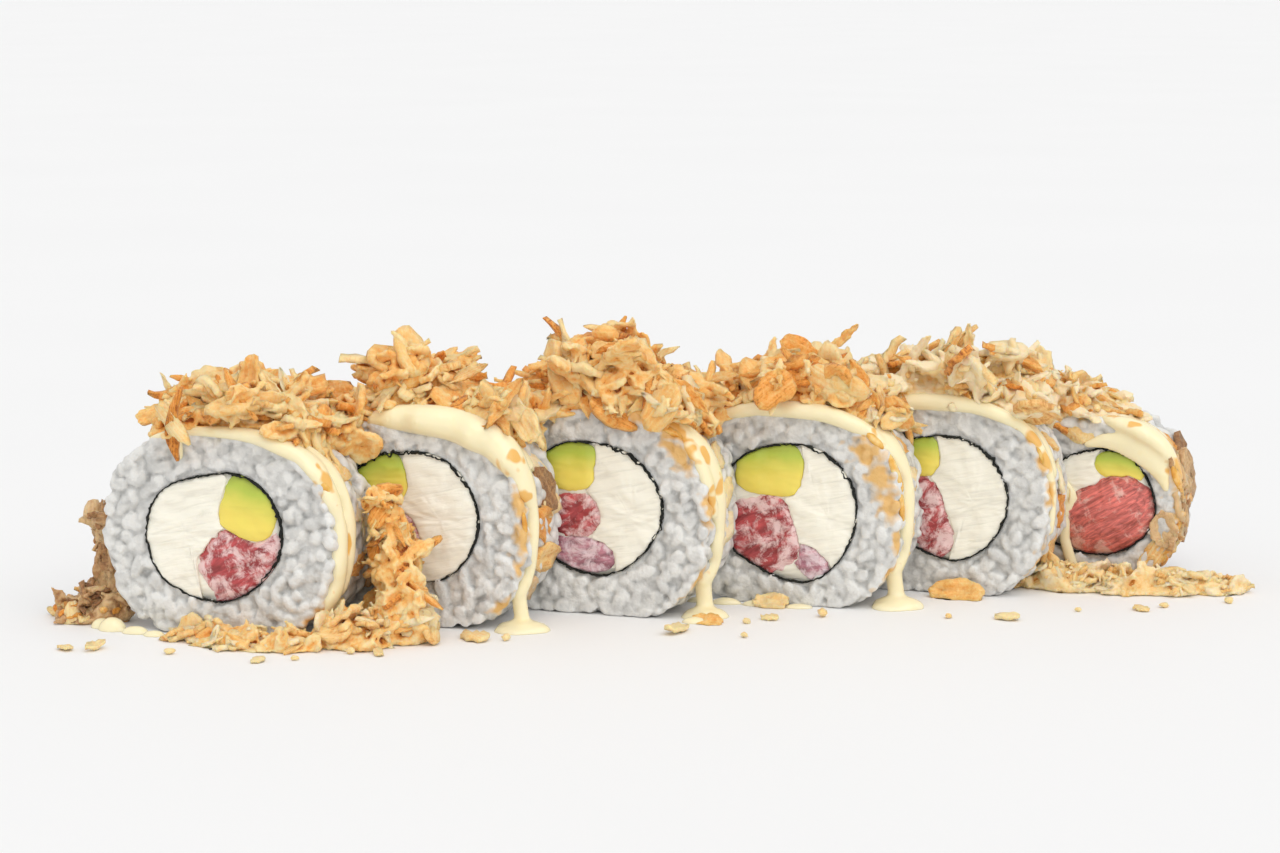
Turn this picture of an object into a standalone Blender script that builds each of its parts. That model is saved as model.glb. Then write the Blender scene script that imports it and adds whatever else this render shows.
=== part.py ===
"""Uramaki roll cut in six slices that stand cut face to cut face, each slid sideways along the cut.

Units are metres, +Z is up. The row runs along +X and the cut faces look towards -Y and a little -X.
In a slice's own frame, X runs along the cut face to its right, Y runs from the front cut to the
back cut, and the slice stands on Z = 0 with the middle of its front edge at the origin.
"""

import math
import random
from collections import namedtuple

import bmesh
import bpy
from mathutils import Matrix, Vector

MM = 0.001

# Driving dimensions of the roll
THICKNESS = 22.0 * MM
FACE_GAP = 0.8 * MM
SLIDES = (34.6 * MM, 33.5 * MM, 37.4 * MM, 29.3 * MM, 28.6 * MM)
STEP = THICKNESS + FACE_GAP
TURN = math.atan2(len(SLIDES) * STEP, sum(SLIDES))

# Rice ring
OUTER_POWER = 2.5
BOTTOM_SQUASH = 1.07
RICE_SEGMENTS = 28
RICE_BUMP = 1.0 * MM
RICE_JITTER = 0.5 * MM
SEAT_BAND = 0.9 * MM
RICE_PROFILE = (
    (0.00, 0.02), (0.45, 0.00), (0.84, 0.02),
    (1.00, 0.12), (1.00, 0.36), (1.00, 0.62), (1.00, 0.88),
    (0.84, 0.98), (0.00, 0.98),
)

# Seaweed sheet and fillings
RING_POWER = 2.15
RING_WOBBLE = 0.022
CLEARANCE = 0.3 * MM
SEAWEED_THICKNESS = 0.5 * MM
SEAWEED_SEGMENTS = 20
FILLING_GAP = 0.35 * MM

# Sauce, crisps and the heap that they make
SAUCE_RADIUS = 1.7 * MM
SAUCE_FOOT_RADIUS = 6.0 * MM
SAUCE_FOOT_HEIGHT = 3.0 * MM
HEAP_CLEARANCE = 0.8 * MM
ENVELOPE_SEGMENTS = 40
CRISP_LENGTH = (8.0 * MM, 15.0 * MM)
CRISP_WIDTH = (3.0 * MM, 5.5 * MM)
CRISP_THICKNESS = 1.6 * MM
# Height of the heap above each slice's rice, and above the joint behind it
HEAP_HEIGHTS = (16.0 * MM, 20.0 * MM, 25.0 * MM, 20.0 * MM, 17.0 * MM, 8.0 * MM)
BRIDGE_HEIGHTS = (6.5 * MM, 7.0 * MM, 7.0 * MM, 7.0 * MM, 11.0 * MM)
HEAP_CRISPS_PER_SLICE = 10
# Buried lumps of each slice's heap: angle on the outline in degrees and share of the heap's height
HEAP_LUMPS = (
    ((116.0, 0.40), (98.0, 0.54), (80.0, 0.56), (60.0, 0.42)),
    ((126.0, 0.36), (104.0, 0.52), (82.0, 0.56), (60.0, 0.42)),
    ((126.0, 0.36), (104.0, 0.52), (82.0, 0.56), (60.0, 0.42)),
    ((126.0, 0.36), (104.0, 0.52), (82.0, 0.56), (60.0, 0.42)),
    ((126.0, 0.36), (104.0, 0.52), (82.0, 0.56), (60.0, 0.42)),
    ((130.0, 0.85), (112.0, 0.72), (94.0, 0.48), (78.0, 0.36)),
)
# Angles on the outline in degrees between which crisps stand out of each slice's heap
HEAP_ARCS = ((46.0, 116.0), (46.0, 126.0), (46.0, 126.0), (46.0, 126.0), (46.0, 126.0), (80.0, 128.0))

Slice = namedtuple("Slice", "width height ring_u ring_z ring_width ring_height ring_tilt")
SLICES = (
    Slice(53.0 * MM, 44.0 * MM, -0.8 * MM, 21.6 * MM, 32.6 * MM, 28.2 * MM, 12.0),
    Slice(52.5 * MM, 45.0 * MM, 0.4 * MM, 24.2 * MM, 32.0 * MM, 28.6 * MM, -14.0),
    Slice(53.0 * MM, 45.5 * MM, 0.2 * MM, 23.9 * MM, 32.0 * MM, 30.0 * MM, -18.0),
    Slice(52.0 * MM, 44.0 * MM, 0.8 * MM, 21.2 * MM, 32.4 * MM, 31.4 * MM, -20.0),
    Slice(51.0 * MM, 43.6 * MM, 1.0 * MM, 22.4 * MM, 32.0 * MM, 28.4 * MM, -20.0),
    Slice(45.0 * MM, 38.0 * MM, 3.6 * MM, 18.7 * MM, 28.5 * MM, 25.4 * MM, 10.0),
)

# Middle, half width and half height in millimetres on the cut face, tilt in degrees, squareness
Filling = namedtuple("Filling", "name u z half_width half_height tilt power")
FILLINGS = (
    (
        Filling("avocado", 7.6, 28.6, 6.6, 7.2, -18.0, 3.0),
        Filling("tuna", 6.2, 15.6, 10.4, 8.6, 32.0, 3.0),
        Filling("cream_cheese", -7.6, 22.4, 14.0, 16.0, 0.0, 2.0),
    ),
    (
        Filling("avocado", -7.0, 31.8, 6.2, 6.2, 8.0, 2.8),
        Filling("tuna", -5.4, 17.2, 7.6, 7.8, 0.0, 2.6),
        Filling("cream_cheese", 7.0, 23.6, 16.0, 18.0, 0.0, 2.0),
    ),
    (
        Filling("avocado", -5.2, 33.0, 5.8, 5.8, -8.0, 3.2),
        Filling("tuna", -4.4, 22.0, 6.2, 4.8, 0.0, 2.8),
        Filling("pale_tuna", -3.2, 13.2, 8.6, 4.0, -4.0, 2.4),
        Filling("cream_cheese", 8.8, 22.6, 16.0, 18.0, 0.0, 2.0),
    ),
    (
        Filling("avocado", -3.7, 30.8, 7.6, 6.4, -6.0, 3.4),
        Filling("tuna", -6.0, 15.4, 8.4, 9.2, 14.0, 3.0),
        Filling("pale_tuna", 5.9, 9.8, 5.0, 3.1, -42.0, 2.2),
        Filling("cream_cheese", 9.8, 20.8, 16.0, 18.0, 0.0, 2.0),
    ),
    (
        Filling("avocado", -4.8, 31.6, 5.0, 4.9, -3.0, 3.4),
        Filling("tuna", -2.6, 17.6, 5.2, 9.8, 22.0, 2.6),
        Filling("cream_cheese", 8.4, 21.6, 16.0, 18.0, 0.0, 2.0),
    ),
    (
        Filling("tuna", 6.9, 15.6, 11.8, 8.6, 22.0, 2.1),
        Filling("avocado", 9.2, 27.0, 5.8, 3.4, -16.0, 2.4),
        Filling("cream_cheese", -2.9, 23.6, 12.0, 12.0, 0.0, 2.0),
    ),
)
FILLING_SEGMENTS = {"avocado": 18, "tuna": 22, "pale_tuna": 18, "cream_cheese": 24}
BULGE = {"avocado": 0.2 * MM, "tuna": 0.4 * MM, "pale_tuna": 0.3 * MM, "cream_cheese": 0.3 * MM}
END_TUNA_REACH = 2.4 * MM

# Where each slice's strands of sauce run: angles on the outline in degrees and depth from the
# front cut in millimetres, before the strand drops to the ground
SAUCE_RUNS = (
    ((104, 2.4), (84, 2.2), (66, 2.8), (48, 3.8), (30, 5.0), (12, 6.2), (-6, 7.0), (-24, 7.2)),
    ((98, 2.4), (80, 2.4), (62, 2.8), (44, 3.8), (26, 5.0), (8, 6.2), (-10, 6.8), (-26, 7.0)),
    ((52, 5.6), (38, 7.0), (24, 8.2), (8, 9.0), (-10, 9.4), (-26, 9.4)),
    ((112, 2.2), (92, 2.2), (72, 2.6), (54, 4.2), (38, 6.0), (22, 7.4), (6, 8.2), (-12, 8.4)),
    ((116, 2.4), (98, 2.2), (80, 2.4), (62, 2.8), (46, 3.4), (32, 4.6), (20, 6.0)),
    ((66, 3.2), (52, 3.0), (38, 3.4), (26, 4.4)),
)
SAUCE_DROPS = (True, True, True, True, False, False)
# Share of the strand's radius along the run, from a broad start over a thin middle to the foot
SAUCE_SWELL = (1.25, 0.85, 1.3)
# Angles on the outline in degrees where a crisp is stuck to each slice's flank
STUCK_CRISPS = ((), (-30, -8, 16), (4, 24), (-20, 6), (2, 22), (-12, 10, 26))

# Crisps lying at the foot of the slices, as lumps in the frame of the slice that they lie by: its
# number, then across, depth, lowest and highest point and radius in millimetres
FALLEN = {
    "crisps_left": (
        (1, -30.5, 7.0, -1.5, 8.0, 6.0),
        (1, -35.0, 5.0, -1.5, 4.5, 6.0),
        (1, -29.0, 9.0, 5.0, 24.0, 4.2),
    ),
    "crisps_front": (
        (1, -3.0, -4.2, -1.5, 2.2, 7.0),
        (1, 8.0, -4.6, -1.5, 3.0, 8.0),
        (1, 20.0, -3.4, -1.5, 3.2, 8.0),
        (1, 31.0, 1.5, -1.5, 6.0, 7.5),
        (1, 38.0, 9.0, -1.5, 10.0, 7.0),
        (1, 36.0, 13.0, 4.0, 20.0, 5.2),
        (1, 33.0, 15.0, 13.0, 31.0, 4.2),
    ),
    "crisps_right": (
        (6, -11.0, -6.0, -1.5, 4.4, 7.5),
        (6, 0.0, -7.0, -1.5, 6.0, 8.5),
        (6, 11.0, -6.4, -1.5, 4.6, 8.5),
        (6, 21.0, -4.5, -1.5, 5.0, 8.0),
        (6, 31.0, -1.0, -1.5, 3.4, 7.0),
    ),
}
FALLEN_BY = {"crisps_left": (1,), "crisps_front": (1, 2), "crisps_right": (5, 6)}

COLOURS = {
    "rice": ((0.72, 0.70, 0.64), 0.45),
    "seaweed": ((0.02, 0.03, 0.02), 0.4),
    "avocado": ((0.62, 0.62, 0.12), 0.35),
    "tuna": ((0.50, 0.10, 0.09), 0.35),
    "pale_tuna": ((0.42, 0.20, 0.22), 0.35),
    "cream_cheese": ((0.88, 0.85, 0.74), 0.5),
    "crisps": ((0.70, 0.38, 0.13), 0.7),
}


def clear_scene():
    for obj in list(bpy.data.objects):
        bpy.data.objects.remove(obj, do_unlink=True)


def make_collection(name, in_render=True):
    collection = bpy.data.collections.new(name)
    collection.hide_render = not in_render
    bpy.context.scene.collection.children.link(collection)
    return collection


def material(kind):
    found = bpy.data.materials.get(kind)
    if found:
        return found
    made = bpy.data.materials.new(kind)
    made.use_nodes = True
    colour, roughness = COLOURS[kind]
    shader = made.node_tree.nodes["Principled BSDF"]
    shader.inputs["Base Color"].default_value = (*colour, 1.0)
    shader.inputs["Roughness"].default_value = roughness
    shader.inputs["Metallic"].default_value = 0.0
    return made


def add_object(name, mesh, collection, parent=None, kind=None):
    obj = bpy.data.objects.new(name, mesh)
    collection.objects.link(obj)
    obj.parent = parent
    if kind:
        mesh.materials.clear()
        mesh.materials.append(material(kind))
    return obj


def finished_mesh(name, bm):
    bmesh.ops.recalc_face_normals(bm, faces=bm.faces)
    mesh = bpy.data.meshes.new(name)
    bm.to_mesh(mesh)
    bm.free()
    return mesh


def smooth(obj, degrees=40.0):
    obj.data.shade_smooth()
    obj.data.set_sharp_from_angle(angle=math.radians(degrees))


def superellipse(angle, half_width, half_height, power, tilt=0.0):
    """Distance from the middle to the edge along an angle, for a rounded box of that power."""
    a = angle - math.radians(tilt)
    across = abs(math.cos(a) / half_width) ** power
    up = abs(math.sin(a) / half_height) ** power
    return (across + up) ** (-1.0 / power)


def reach(outline, origin, angle):
    """Distance from origin along angle to the nearest side of a closed outline, or None."""
    du, dz = math.cos(angle), math.sin(angle)
    nearest = None
    for (u0, z0), (u1, z1) in zip(outline, outline[1:] + outline[:1]):
        eu, ez = u1 - u0, z1 - z0
        cross = du * ez - dz * eu
        if abs(cross) < 1e-15:
            continue
        fu, fz = u0 - origin[0], z0 - origin[1]
        along = (fu * ez - fz * eu) / cross
        share = (fu * dz - fz * du) / cross
        if along > 0.0 and -1e-9 <= share <= 1.0 + 1e-9:
            nearest = along if nearest is None else min(nearest, along)
    return nearest


def angles_of(count):
    return [2.0 * math.pi * i / count for i in range(count)]


def outer_outline(cut, grow=0.0, count=96):
    """The slice's outside on the cut face: a rounded box that has settled flat on the ground."""
    middle = cut.height / 2.0
    points = []
    for angle in angles_of(count):
        low = BOTTOM_SQUASH if math.sin(angle) < 0.0 else 1.0
        distance = superellipse(angle, cut.width / 2.0, middle * low, OUTER_POWER) + grow
        points.append((distance * math.cos(angle), max(-grow, middle + distance * math.sin(angle))))
    return points


def ring_reach(cut, angle):
    """Distance from the ring's middle to the inside of the rice, a little uneven."""
    distance = superellipse(
        angle, cut.ring_width / 2.0, cut.ring_height / 2.0, RING_POWER, cut.ring_tilt
    )
    wobble = math.sin(3.0 * angle + cut.ring_tilt) + 0.6 * math.sin(5.0 * angle + 2.0)
    return distance * (1.0 + RING_WOBBLE * wobble)


def ring_outline(cut, inset, count):
    points = []
    for angle in angles_of(count):
        distance = ring_reach(cut, angle) - inset
        points.append((
            cut.ring_u + distance * math.cos(angle),
            cut.ring_z + distance * math.sin(angle),
        ))
    return points


def spun_ring(profile, segments):
    """A ring round the Y axis, from a closed profile of (distance beyond 1, depth) points."""
    bm = bmesh.new()
    verts = [bm.verts.new((1.0 + share, depth, 0.0)) for share, depth in profile]
    edges = [bm.edges.new(pair) for pair in zip(verts, verts[1:] + verts[:1])]
    bmesh.ops.spin(
        bm, geom=verts + edges, cent=(0, 0, 0), axis=(0, -1, 0), dvec=(0, 0, 0),
        angle=2.0 * math.pi, steps=segments, use_merge=True, use_duplicate=False,
    )
    bmesh.ops.remove_doubles(bm, verts=bm.verts, dist=1e-4)
    return bm


def ring_mesh(name, profile, segments, centre, inner, outer, depth):
    """Warps a spun ring so that its walls lie on the distances inner(angle) and outer(angle)."""
    bm = spun_ring(profile, segments)
    for vert in bm.verts:
        angle = math.atan2(vert.co.z, vert.co.x)
        share = math.hypot(vert.co.x, vert.co.z) - 1.0
        distance = inner(angle) + share * (outer(angle) - inner(angle))
        vert.co = (
            centre[0] + distance * math.cos(angle),
            vert.co.y * depth,
            centre[1] + distance * math.sin(angle),
        )
    return finished_mesh(name, bm)


def roughen_rice(mesh, cut, rng):
    """Grain-sized bumps that stay inside the smooth outline, and a flat seat on the ground."""
    middle = Vector((0.0, THICKNESS / 2.0, cut.height / 2.0))
    bore = Vector((cut.ring_u, 0.0, cut.ring_z))
    for vert in mesh.vertices:
        across = Vector((vert.co.x - bore.x, 0.0, vert.co.z - bore.z))
        if across.length < ring_reach(cut, math.atan2(across.z, across.x)) + 0.5 * MM:
            continue
        seated = vert.co.z < SEAT_BAND
        depth = rng.uniform(0.0, RICE_BUMP)
        vert.co.y += rng.uniform(-RICE_JITTER, RICE_JITTER)
        if seated:
            vert.co.z = 0.0
        else:
            inward = Vector((middle.x - vert.co.x, 0.0, middle.z - vert.co.z)).normalized()
            vert.co += inward * depth
            vert.co.z = max(vert.co.z, 0.0)
        vert.co.y = min(max(vert.co.y, 0.0), THICKNESS)


def add_rice(index, cut, collection, parent, rng):
    outline = outer_outline(cut)
    centre = (cut.ring_u, cut.ring_z)
    mesh = ring_mesh(
        f"rice_{index}", RICE_PROFILE, RICE_SEGMENTS, centre,
        lambda angle: ring_reach(cut, angle),
        lambda angle: reach(outline, centre, angle),
        THICKNESS,
    )
    roughen_rice(mesh, cut, rng)
    return add_object(f"rice_{index}", mesh, collection, parent, "rice")


def add_seaweed(index, cut, collection, parent):
    profile = ((0.0, 0.0), (1.0, 0.0), (1.0, 1.0), (0.0, 1.0))
    mesh = ring_mesh(
        f"seaweed_{index}", profile, SEAWEED_SEGMENTS, (cut.ring_u, cut.ring_z),
        lambda angle: ring_reach(cut, angle) - CLEARANCE - SEAWEED_THICKNESS,
        lambda angle: ring_reach(cut, angle) - CLEARANCE,
        THICKNESS,
    )
    smooth(add_object(f"seaweed_{index}", mesh, collection, parent, "seaweed"))


def filling_outline(filling, container, neighbours):
    """The filling's edge as seen from its middle, stopped by the seaweed and its neighbours."""
    origin = (filling.u * MM, filling.z * MM)
    segments = FILLING_SEGMENTS[filling.name]
    half_step = math.pi / segments
    points = []
    for angle in angles_of(segments):
        own = superellipse(
            angle, filling.half_width * MM, filling.half_height * MM, filling.power, filling.tilt
        )
        limits = [reach(container, origin, angle), own]
        for other in neighbours:
            limits += [reach(other, origin, angle + side * half_step) for side in (-1, 0, 1)]
        distance = min(limit for limit in limits if limit is not None)
        points.append((origin[0] + distance * math.cos(angle), origin[1] + distance * math.sin(angle)))
    return points


def grown(outline, origin, amount):
    """The outline moved away from its middle by an amount."""
    points = []
    for u, z in outline:
        across = Vector((u - origin[0], z - origin[1]))
        across = across * (1.0 + amount / across.length)
        points.append((origin[0] + across.x, origin[1] + across.y))
    return points


def plug_mesh(name, outline, origin, front, back, bulge):
    """A plug of that outline through the slice, whose two cut ends are slightly domed."""
    bm = bmesh.new()
    bmesh.ops.create_cone(
        bm, cap_ends=True, cap_tris=False, segments=len(outline), radius1=1.0, radius2=1.0, depth=2.0
    )
    bmesh.ops.rotate(bm, verts=bm.verts, cent=(0, 0, 0), matrix=Matrix.Rotation(math.pi / 2.0, 3, "X"))
    caps = [face for face in bm.faces if len(face.verts) == len(outline)]
    domes = bmesh.ops.poke(bm, faces=caps)["verts"]
    for vert in bm.verts:
        is_back = vert.co.y > 0.0
        end = back if is_back else front
        if vert in domes:
            vert.co = (origin[0], end, origin[1])
            continue
        rim = end - bulge if is_back else end + bulge
        turn = math.atan2(vert.co.z, vert.co.x) / (2.0 * math.pi)
        u, z = outline[round(turn * len(outline)) % len(outline)]
        vert.co = (u, rim, z)
    return finished_mesh(name, bm)


def add_fillings(index, cut, fillings, collection, parent):
    inset = CLEARANCE + SEAWEED_THICKNESS + FILLING_GAP
    container = ring_outline(cut, inset, SEAWEED_SEGMENTS)
    placed = []
    for filling in fillings:
        outline = filling_outline(filling, container, placed)
        origin = (filling.u * MM, filling.z * MM)
        placed.append(grown(outline, origin, FILLING_GAP))
        is_end_tuna = index == len(SLICES) and filling.name == "tuna"
        front = -END_TUNA_REACH if is_end_tuna else 0.1 * MM
        bulge = BULGE[filling.name] + (END_TUNA_REACH if is_end_tuna else 0.0)
        name = f"{filling.name}_{index}"
        mesh = plug_mesh(name, outline, origin, front, THICKNESS - 0.1 * MM, bulge)
        smooth(add_object(name, mesh, collection, parent, filling.name))


def outline_point(cut, outline, degrees, lift):
    """A point lifted off the slice's outside at an angle about the middle of the cut face."""
    angle = math.radians(degrees)
    middle = (0.0, cut.height / 2.0)
    distance = reach(outline, middle, angle) + lift
    return distance * math.cos(angle), middle[1] + distance * math.sin(angle)


def sauce_path(index, cut):
    """Points of one strand of sauce: over the shoulder, then straight down to the ground."""
    outline = outer_outline(cut)
    points = []
    for degrees, depth in SAUCE_RUNS[index - 1]:
        u, z = outline_point(cut, outline, degrees, 0.3 * MM)
        points.append(Vector((u, depth * MM, z)))
    if SAUCE_DROPS[index - 1]:
        last = points[-1]
        for share in (0.45, 0.93):
            points.append(Vector((last.x + 1.0 * MM * share, last.y, last.z * (1.0 - share))))
    return points


def swell(share):
    """Thickness of a strand at a share of its length, against its nominal radius."""
    start, middle, end = SAUCE_SWELL
    if share < 0.6:
        return start + (middle - start) * share / 0.6
    return middle + (end - middle) * (share - 0.6) / 0.4


def tube_mesh(name, points, radius, extra=0.0):
    """A round strand along the points that swells at its ends, as a closed mesh."""
    curve = bpy.data.curves.new(name, "CURVE")
    curve.dimensions = "3D"
    curve.bevel_depth = 1.0
    curve.bevel_resolution = 1
    curve.use_fill_caps = True
    spline = curve.splines.new("POLY")
    spline.points.add(len(points) - 1)
    for number, (slot, point) in enumerate(zip(spline.points, points)):
        slot.co = (*point, 1.0)
        slot.radius = radius * swell(number / (len(points) - 1)) + extra
    carrier = bpy.data.objects.new(name, curve)
    bpy.context.scene.collection.objects.link(carrier)
    bpy.context.view_layer.update()
    graph = bpy.context.evaluated_depsgraph_get()
    mesh = bpy.data.meshes.new_from_object(carrier.evaluated_get(graph))
    bpy.data.objects.remove(carrier)
    bpy.data.curves.remove(curve)
    bm = bmesh.new()
    bm.from_mesh(mesh)
    bmesh.ops.remove_doubles(bm, verts=bm.verts, dist=1e-6)
    return finished_mesh(name, bm)


def dome_mesh(name, centre, radius, height, segments=12):
    """A low round puddle with a flat underside on the ground."""
    bm = bmesh.new()
    bmesh.ops.create_uvsphere(bm, u_segments=segments, v_segments=6, radius=1.0)
    bmesh.ops.scale(bm, verts=bm.verts, vec=(radius, radius * 0.8, height))
    bmesh.ops.translate(bm, verts=bm.verts, vec=(centre[0], centre[1], 0.0))
    geometry = bm.verts[:] + bm.edges[:] + bm.faces[:]
    cut = bmesh.ops.bisect_plane(
        bm, geom=geometry, plane_co=(0, 0, 0), plane_no=(0, 0, -1), clear_outer=True, dist=1e-7
    )
    rim = [item for item in cut["geom_cut"] if isinstance(item, bmesh.types.BMEdge)]
    bmesh.ops.contextual_create(bm, geom=rim)
    return finished_mesh(name, bm)


def crisp_mesh(name, length, width, rng):
    """A flake of fried onion: a thin curved chip with a ragged edge."""
    bm = bmesh.new()
    bmesh.ops.create_cube(bm, size=1.0)
    geometry = bm.verts[:] + bm.edges[:] + bm.faces[:]
    bmesh.ops.bisect_plane(bm, geom=geometry, plane_co=(0, 0, 0), plane_no=(1, 0, 0))
    bend = rng.uniform(-0.14, 0.2)
    for vert in bm.verts:
        along = vert.co.x * 2.0
        taper = 1.0 - 0.45 * abs(along) ** 2 * rng.uniform(0.6, 1.3)
        vert.co.z = vert.co.z * CRISP_THICKNESS * rng.uniform(0.8, 1.25) + bend * length * along ** 2
        vert.co.x = vert.co.x * length * rng.uniform(0.92, 1.05)
        vert.co.y = vert.co.y * width * taper
    return finished_mesh(name, bm)


def lump_mesh(name, size, rng):
    """A rough rounded lump, the buried bulk of a heap."""
    bm = bmesh.new()
    bmesh.ops.create_icosphere(bm, subdivisions=1, radius=1.0)
    tumble = Matrix.Rotation(rng.uniform(0.3, 0.42), 3, "X")
    tumble = tumble @ Matrix.Rotation(rng.uniform(0.0, 2.0 * math.pi), 3, "Z")
    bmesh.ops.rotate(bm, verts=bm.verts, cent=(0, 0, 0), matrix=tumble)
    for vert in bm.verts:
        vert.co *= rng.uniform(1.0, 1.18)
        vert.co = Vector((vert.co.x * size[0], vert.co.y * size[1], vert.co.z * size[2]))
    return finished_mesh(name, bm)


def apply_modifiers(obj):
    bpy.context.view_layer.update()
    graph = bpy.context.evaluated_depsgraph_get()
    mesh = bpy.data.meshes.new_from_object(obj.evaluated_get(graph))
    obj.modifiers.clear()
    old = obj.data
    obj.data = mesh
    bpy.data.meshes.remove(old)


def boolean(obj, others, operation, solver="EXACT"):
    """Joins or cuts obj with a collection of objects, which are then removed."""
    helpers = bpy.data.collections.new(f"{obj.name}_{operation.lower()}")
    bpy.context.scene.collection.children.link(helpers)
    for other in others:
        for holder in list(other.users_collection):
            holder.objects.unlink(other)
        helpers.objects.link(other)
    modifier = obj.modifiers.new(operation.lower(), "BOOLEAN")
    modifier.operation = operation
    modifier.operand_type = "COLLECTION"
    modifier.collection = helpers
    modifier.solver = solver
    apply_modifiers(obj)
    for other in list(helpers.objects):
        bpy.data.objects.remove(other, do_unlink=True)
    bpy.data.collections.remove(helpers)


def islands_of(bm):
    """The mesh's loose pieces, as lists of faces."""
    waiting = set(bm.faces)
    found = []
    while waiting:
        stack = [waiting.pop()]
        island = list(stack)
        while stack:
            for edge in stack.pop().edges:
                for face in edge.link_faces:
                    if face in waiting:
                        waiting.discard(face)
                        stack.append(face)
                        island.append(face)
        found.append(island)
    return found


def volume_of(faces):
    """Signed volume inside a closed set of triangles, which is negative for a sealed hollow."""
    return sum(
        face.verts[0].co.dot(face.verts[1].co.cross(face.verts[2].co)) / 6.0 for face in faces
    )


def keep_largest(obj):
    """Drops the scraps that a cut leaves, fills sealed hollows and welds slivers."""
    bm = bmesh.new()
    bm.from_mesh(obj.data)
    bmesh.ops.remove_doubles(bm, verts=bm.verts, dist=2e-6)
    bmesh.ops.dissolve_degenerate(bm, edges=bm.edges, dist=1e-6)
    bmesh.ops.triangulate(bm, faces=bm.faces)
    islands = sorted(islands_of(bm), key=volume_of)
    scraps = [face for island in islands[:-1] for face in island]
    bmesh.ops.delete(bm, geom=scraps, context="FACES")
    bm.to_mesh(obj.data)
    bm.free()


def turned_crisp(name, at, normal, rng, collection, lengths=CRISP_LENGTH, lean=0.5):
    """A crisp that lies roughly along a surface with that normal, at a point."""
    mesh = crisp_mesh(name, rng.uniform(*lengths), rng.uniform(*CRISP_WIDTH), rng)
    obj = add_object(name, mesh, collection)
    spin = Matrix.Rotation(rng.uniform(0.0, 2.0 * math.pi), 4, "Z")
    tip = Matrix.Rotation(rng.uniform(-lean, lean), 4, "X") @ Matrix.Rotation(
        rng.uniform(-lean, lean), 4, "Y"
    )
    facing = normal.to_track_quat("Z", "Y").to_matrix().to_4x4()
    obj.matrix_world = Matrix.Translation(at) @ facing @ tip @ spin
    return obj


def slice_matrix(index):
    """Place of a slice's own frame in the row."""
    along = sum(SLIDES[: index - 1])
    deep = STEP * (index - 1)
    turn = Matrix.Rotation(-TURN, 4, "Z")
    return Matrix.Translation(turn @ Vector((along, deep, 0.0))) @ turn


def surface_frame(cut, outline, degrees):
    """Point and outward normal of the slice's outside, in its own frame, at the front cut."""
    here = outline_point(cut, outline, degrees, 0.0)
    before = outline_point(cut, outline, degrees - 3.0, 0.0)
    after = outline_point(cut, outline, degrees + 3.0, 0.0)
    tangent = Vector((after[0] - before[0], 0.0, after[1] - before[1])).normalized()
    normal = Vector((tangent.z, 0.0, -tangent.x))
    return Vector((here[0], 0.0, here[1])), normal


def dress_rice(index, cut, rice, helpers, rng):
    """Fuses the thick sauce and the crisps that stick to the flank onto the rice."""
    outline = outer_outline(cut)
    extras = []
    path = sauce_path(index, cut)
    extras.append(add_object(f"strand_{index}", tube_mesh("strand", path, SAUCE_RADIUS), helpers))
    if SAUCE_DROPS[index - 1]:
        foot = dome_mesh("foot", path[-1], SAUCE_FOOT_RADIUS, SAUCE_FOOT_HEIGHT)
        extras.append(add_object(f"foot_{index}", foot, helpers))
    for number, degrees in enumerate(STUCK_CRISPS[index - 1]):
        at, normal = surface_frame(cut, outline, degrees + rng.uniform(-5.0, 5.0))
        at += normal * 0.2 * MM
        at.y = rng.uniform(12.5, 14.5) * MM
        extras.append(turned_crisp(
            f"stuck_{index}_{number}", at, normal, rng, helpers, (4.0 * MM, 6.5 * MM), 0.15
        ))
    for extra in extras:
        extra.parent = rice.parent
    boolean(rice, extras, "UNION")
    keep_largest(rice)


def envelope(index, cut, helpers):
    """The slice's space with its clearance, which cuts the heap's underside."""
    outline = outer_outline(cut, HEAP_CLEARANCE, ENVELOPE_SEGMENTS)
    origin = (0.0, cut.height / 2.0)
    mesh = plug_mesh(
        "envelope", outline, origin, -HEAP_CLEARANCE, THICKNESS + HEAP_CLEARANCE, 0.0
    )
    obj = add_object(f"envelope_{index}", mesh, helpers)
    obj.matrix_world = slice_matrix(index)
    return obj


def sauce_cutter(index, cut, helpers):
    """A thicker copy of the slice's strand, which keeps the heap clear of it."""
    mesh = tube_mesh("sauce_cutter", sauce_path(index, cut), SAUCE_RADIUS, HEAP_CLEARANCE)
    obj = add_object(f"sauce_cutter_{index}", mesh, helpers)
    obj.matrix_world = slice_matrix(index)
    return obj


def foot_cutter(index, cut, helpers):
    """A larger copy of the puddle at the foot of the slice's strand."""
    end = sauce_path(index, cut)[-1]
    mesh = dome_mesh(
        "foot_cutter", end, SAUCE_FOOT_RADIUS + HEAP_CLEARANCE, SAUCE_FOOT_HEIGHT + HEAP_CLEARANCE
    )
    obj = add_object(f"foot_cutter_{index}", mesh, helpers)
    obj.matrix_world = slice_matrix(index)
    return obj


def cutters(indices, helpers):
    """Solids that keep crisps clear of those slices and of their sauce."""
    made = []
    for index in indices:
        cut = SLICES[index - 1]
        made.append(envelope(index, cut, helpers))
        made.append(sauce_cutter(index, cut, helpers))
        if SAUCE_DROPS[index - 1]:
            made.append(foot_cutter(index, cut, helpers))
    return made


def placed_lump(name, matrix, at, size, helpers, rng):
    obj = add_object(name, lump_mesh(name, size, rng), helpers)
    obj.matrix_world = matrix @ Matrix.Translation(at)
    return obj


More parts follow.
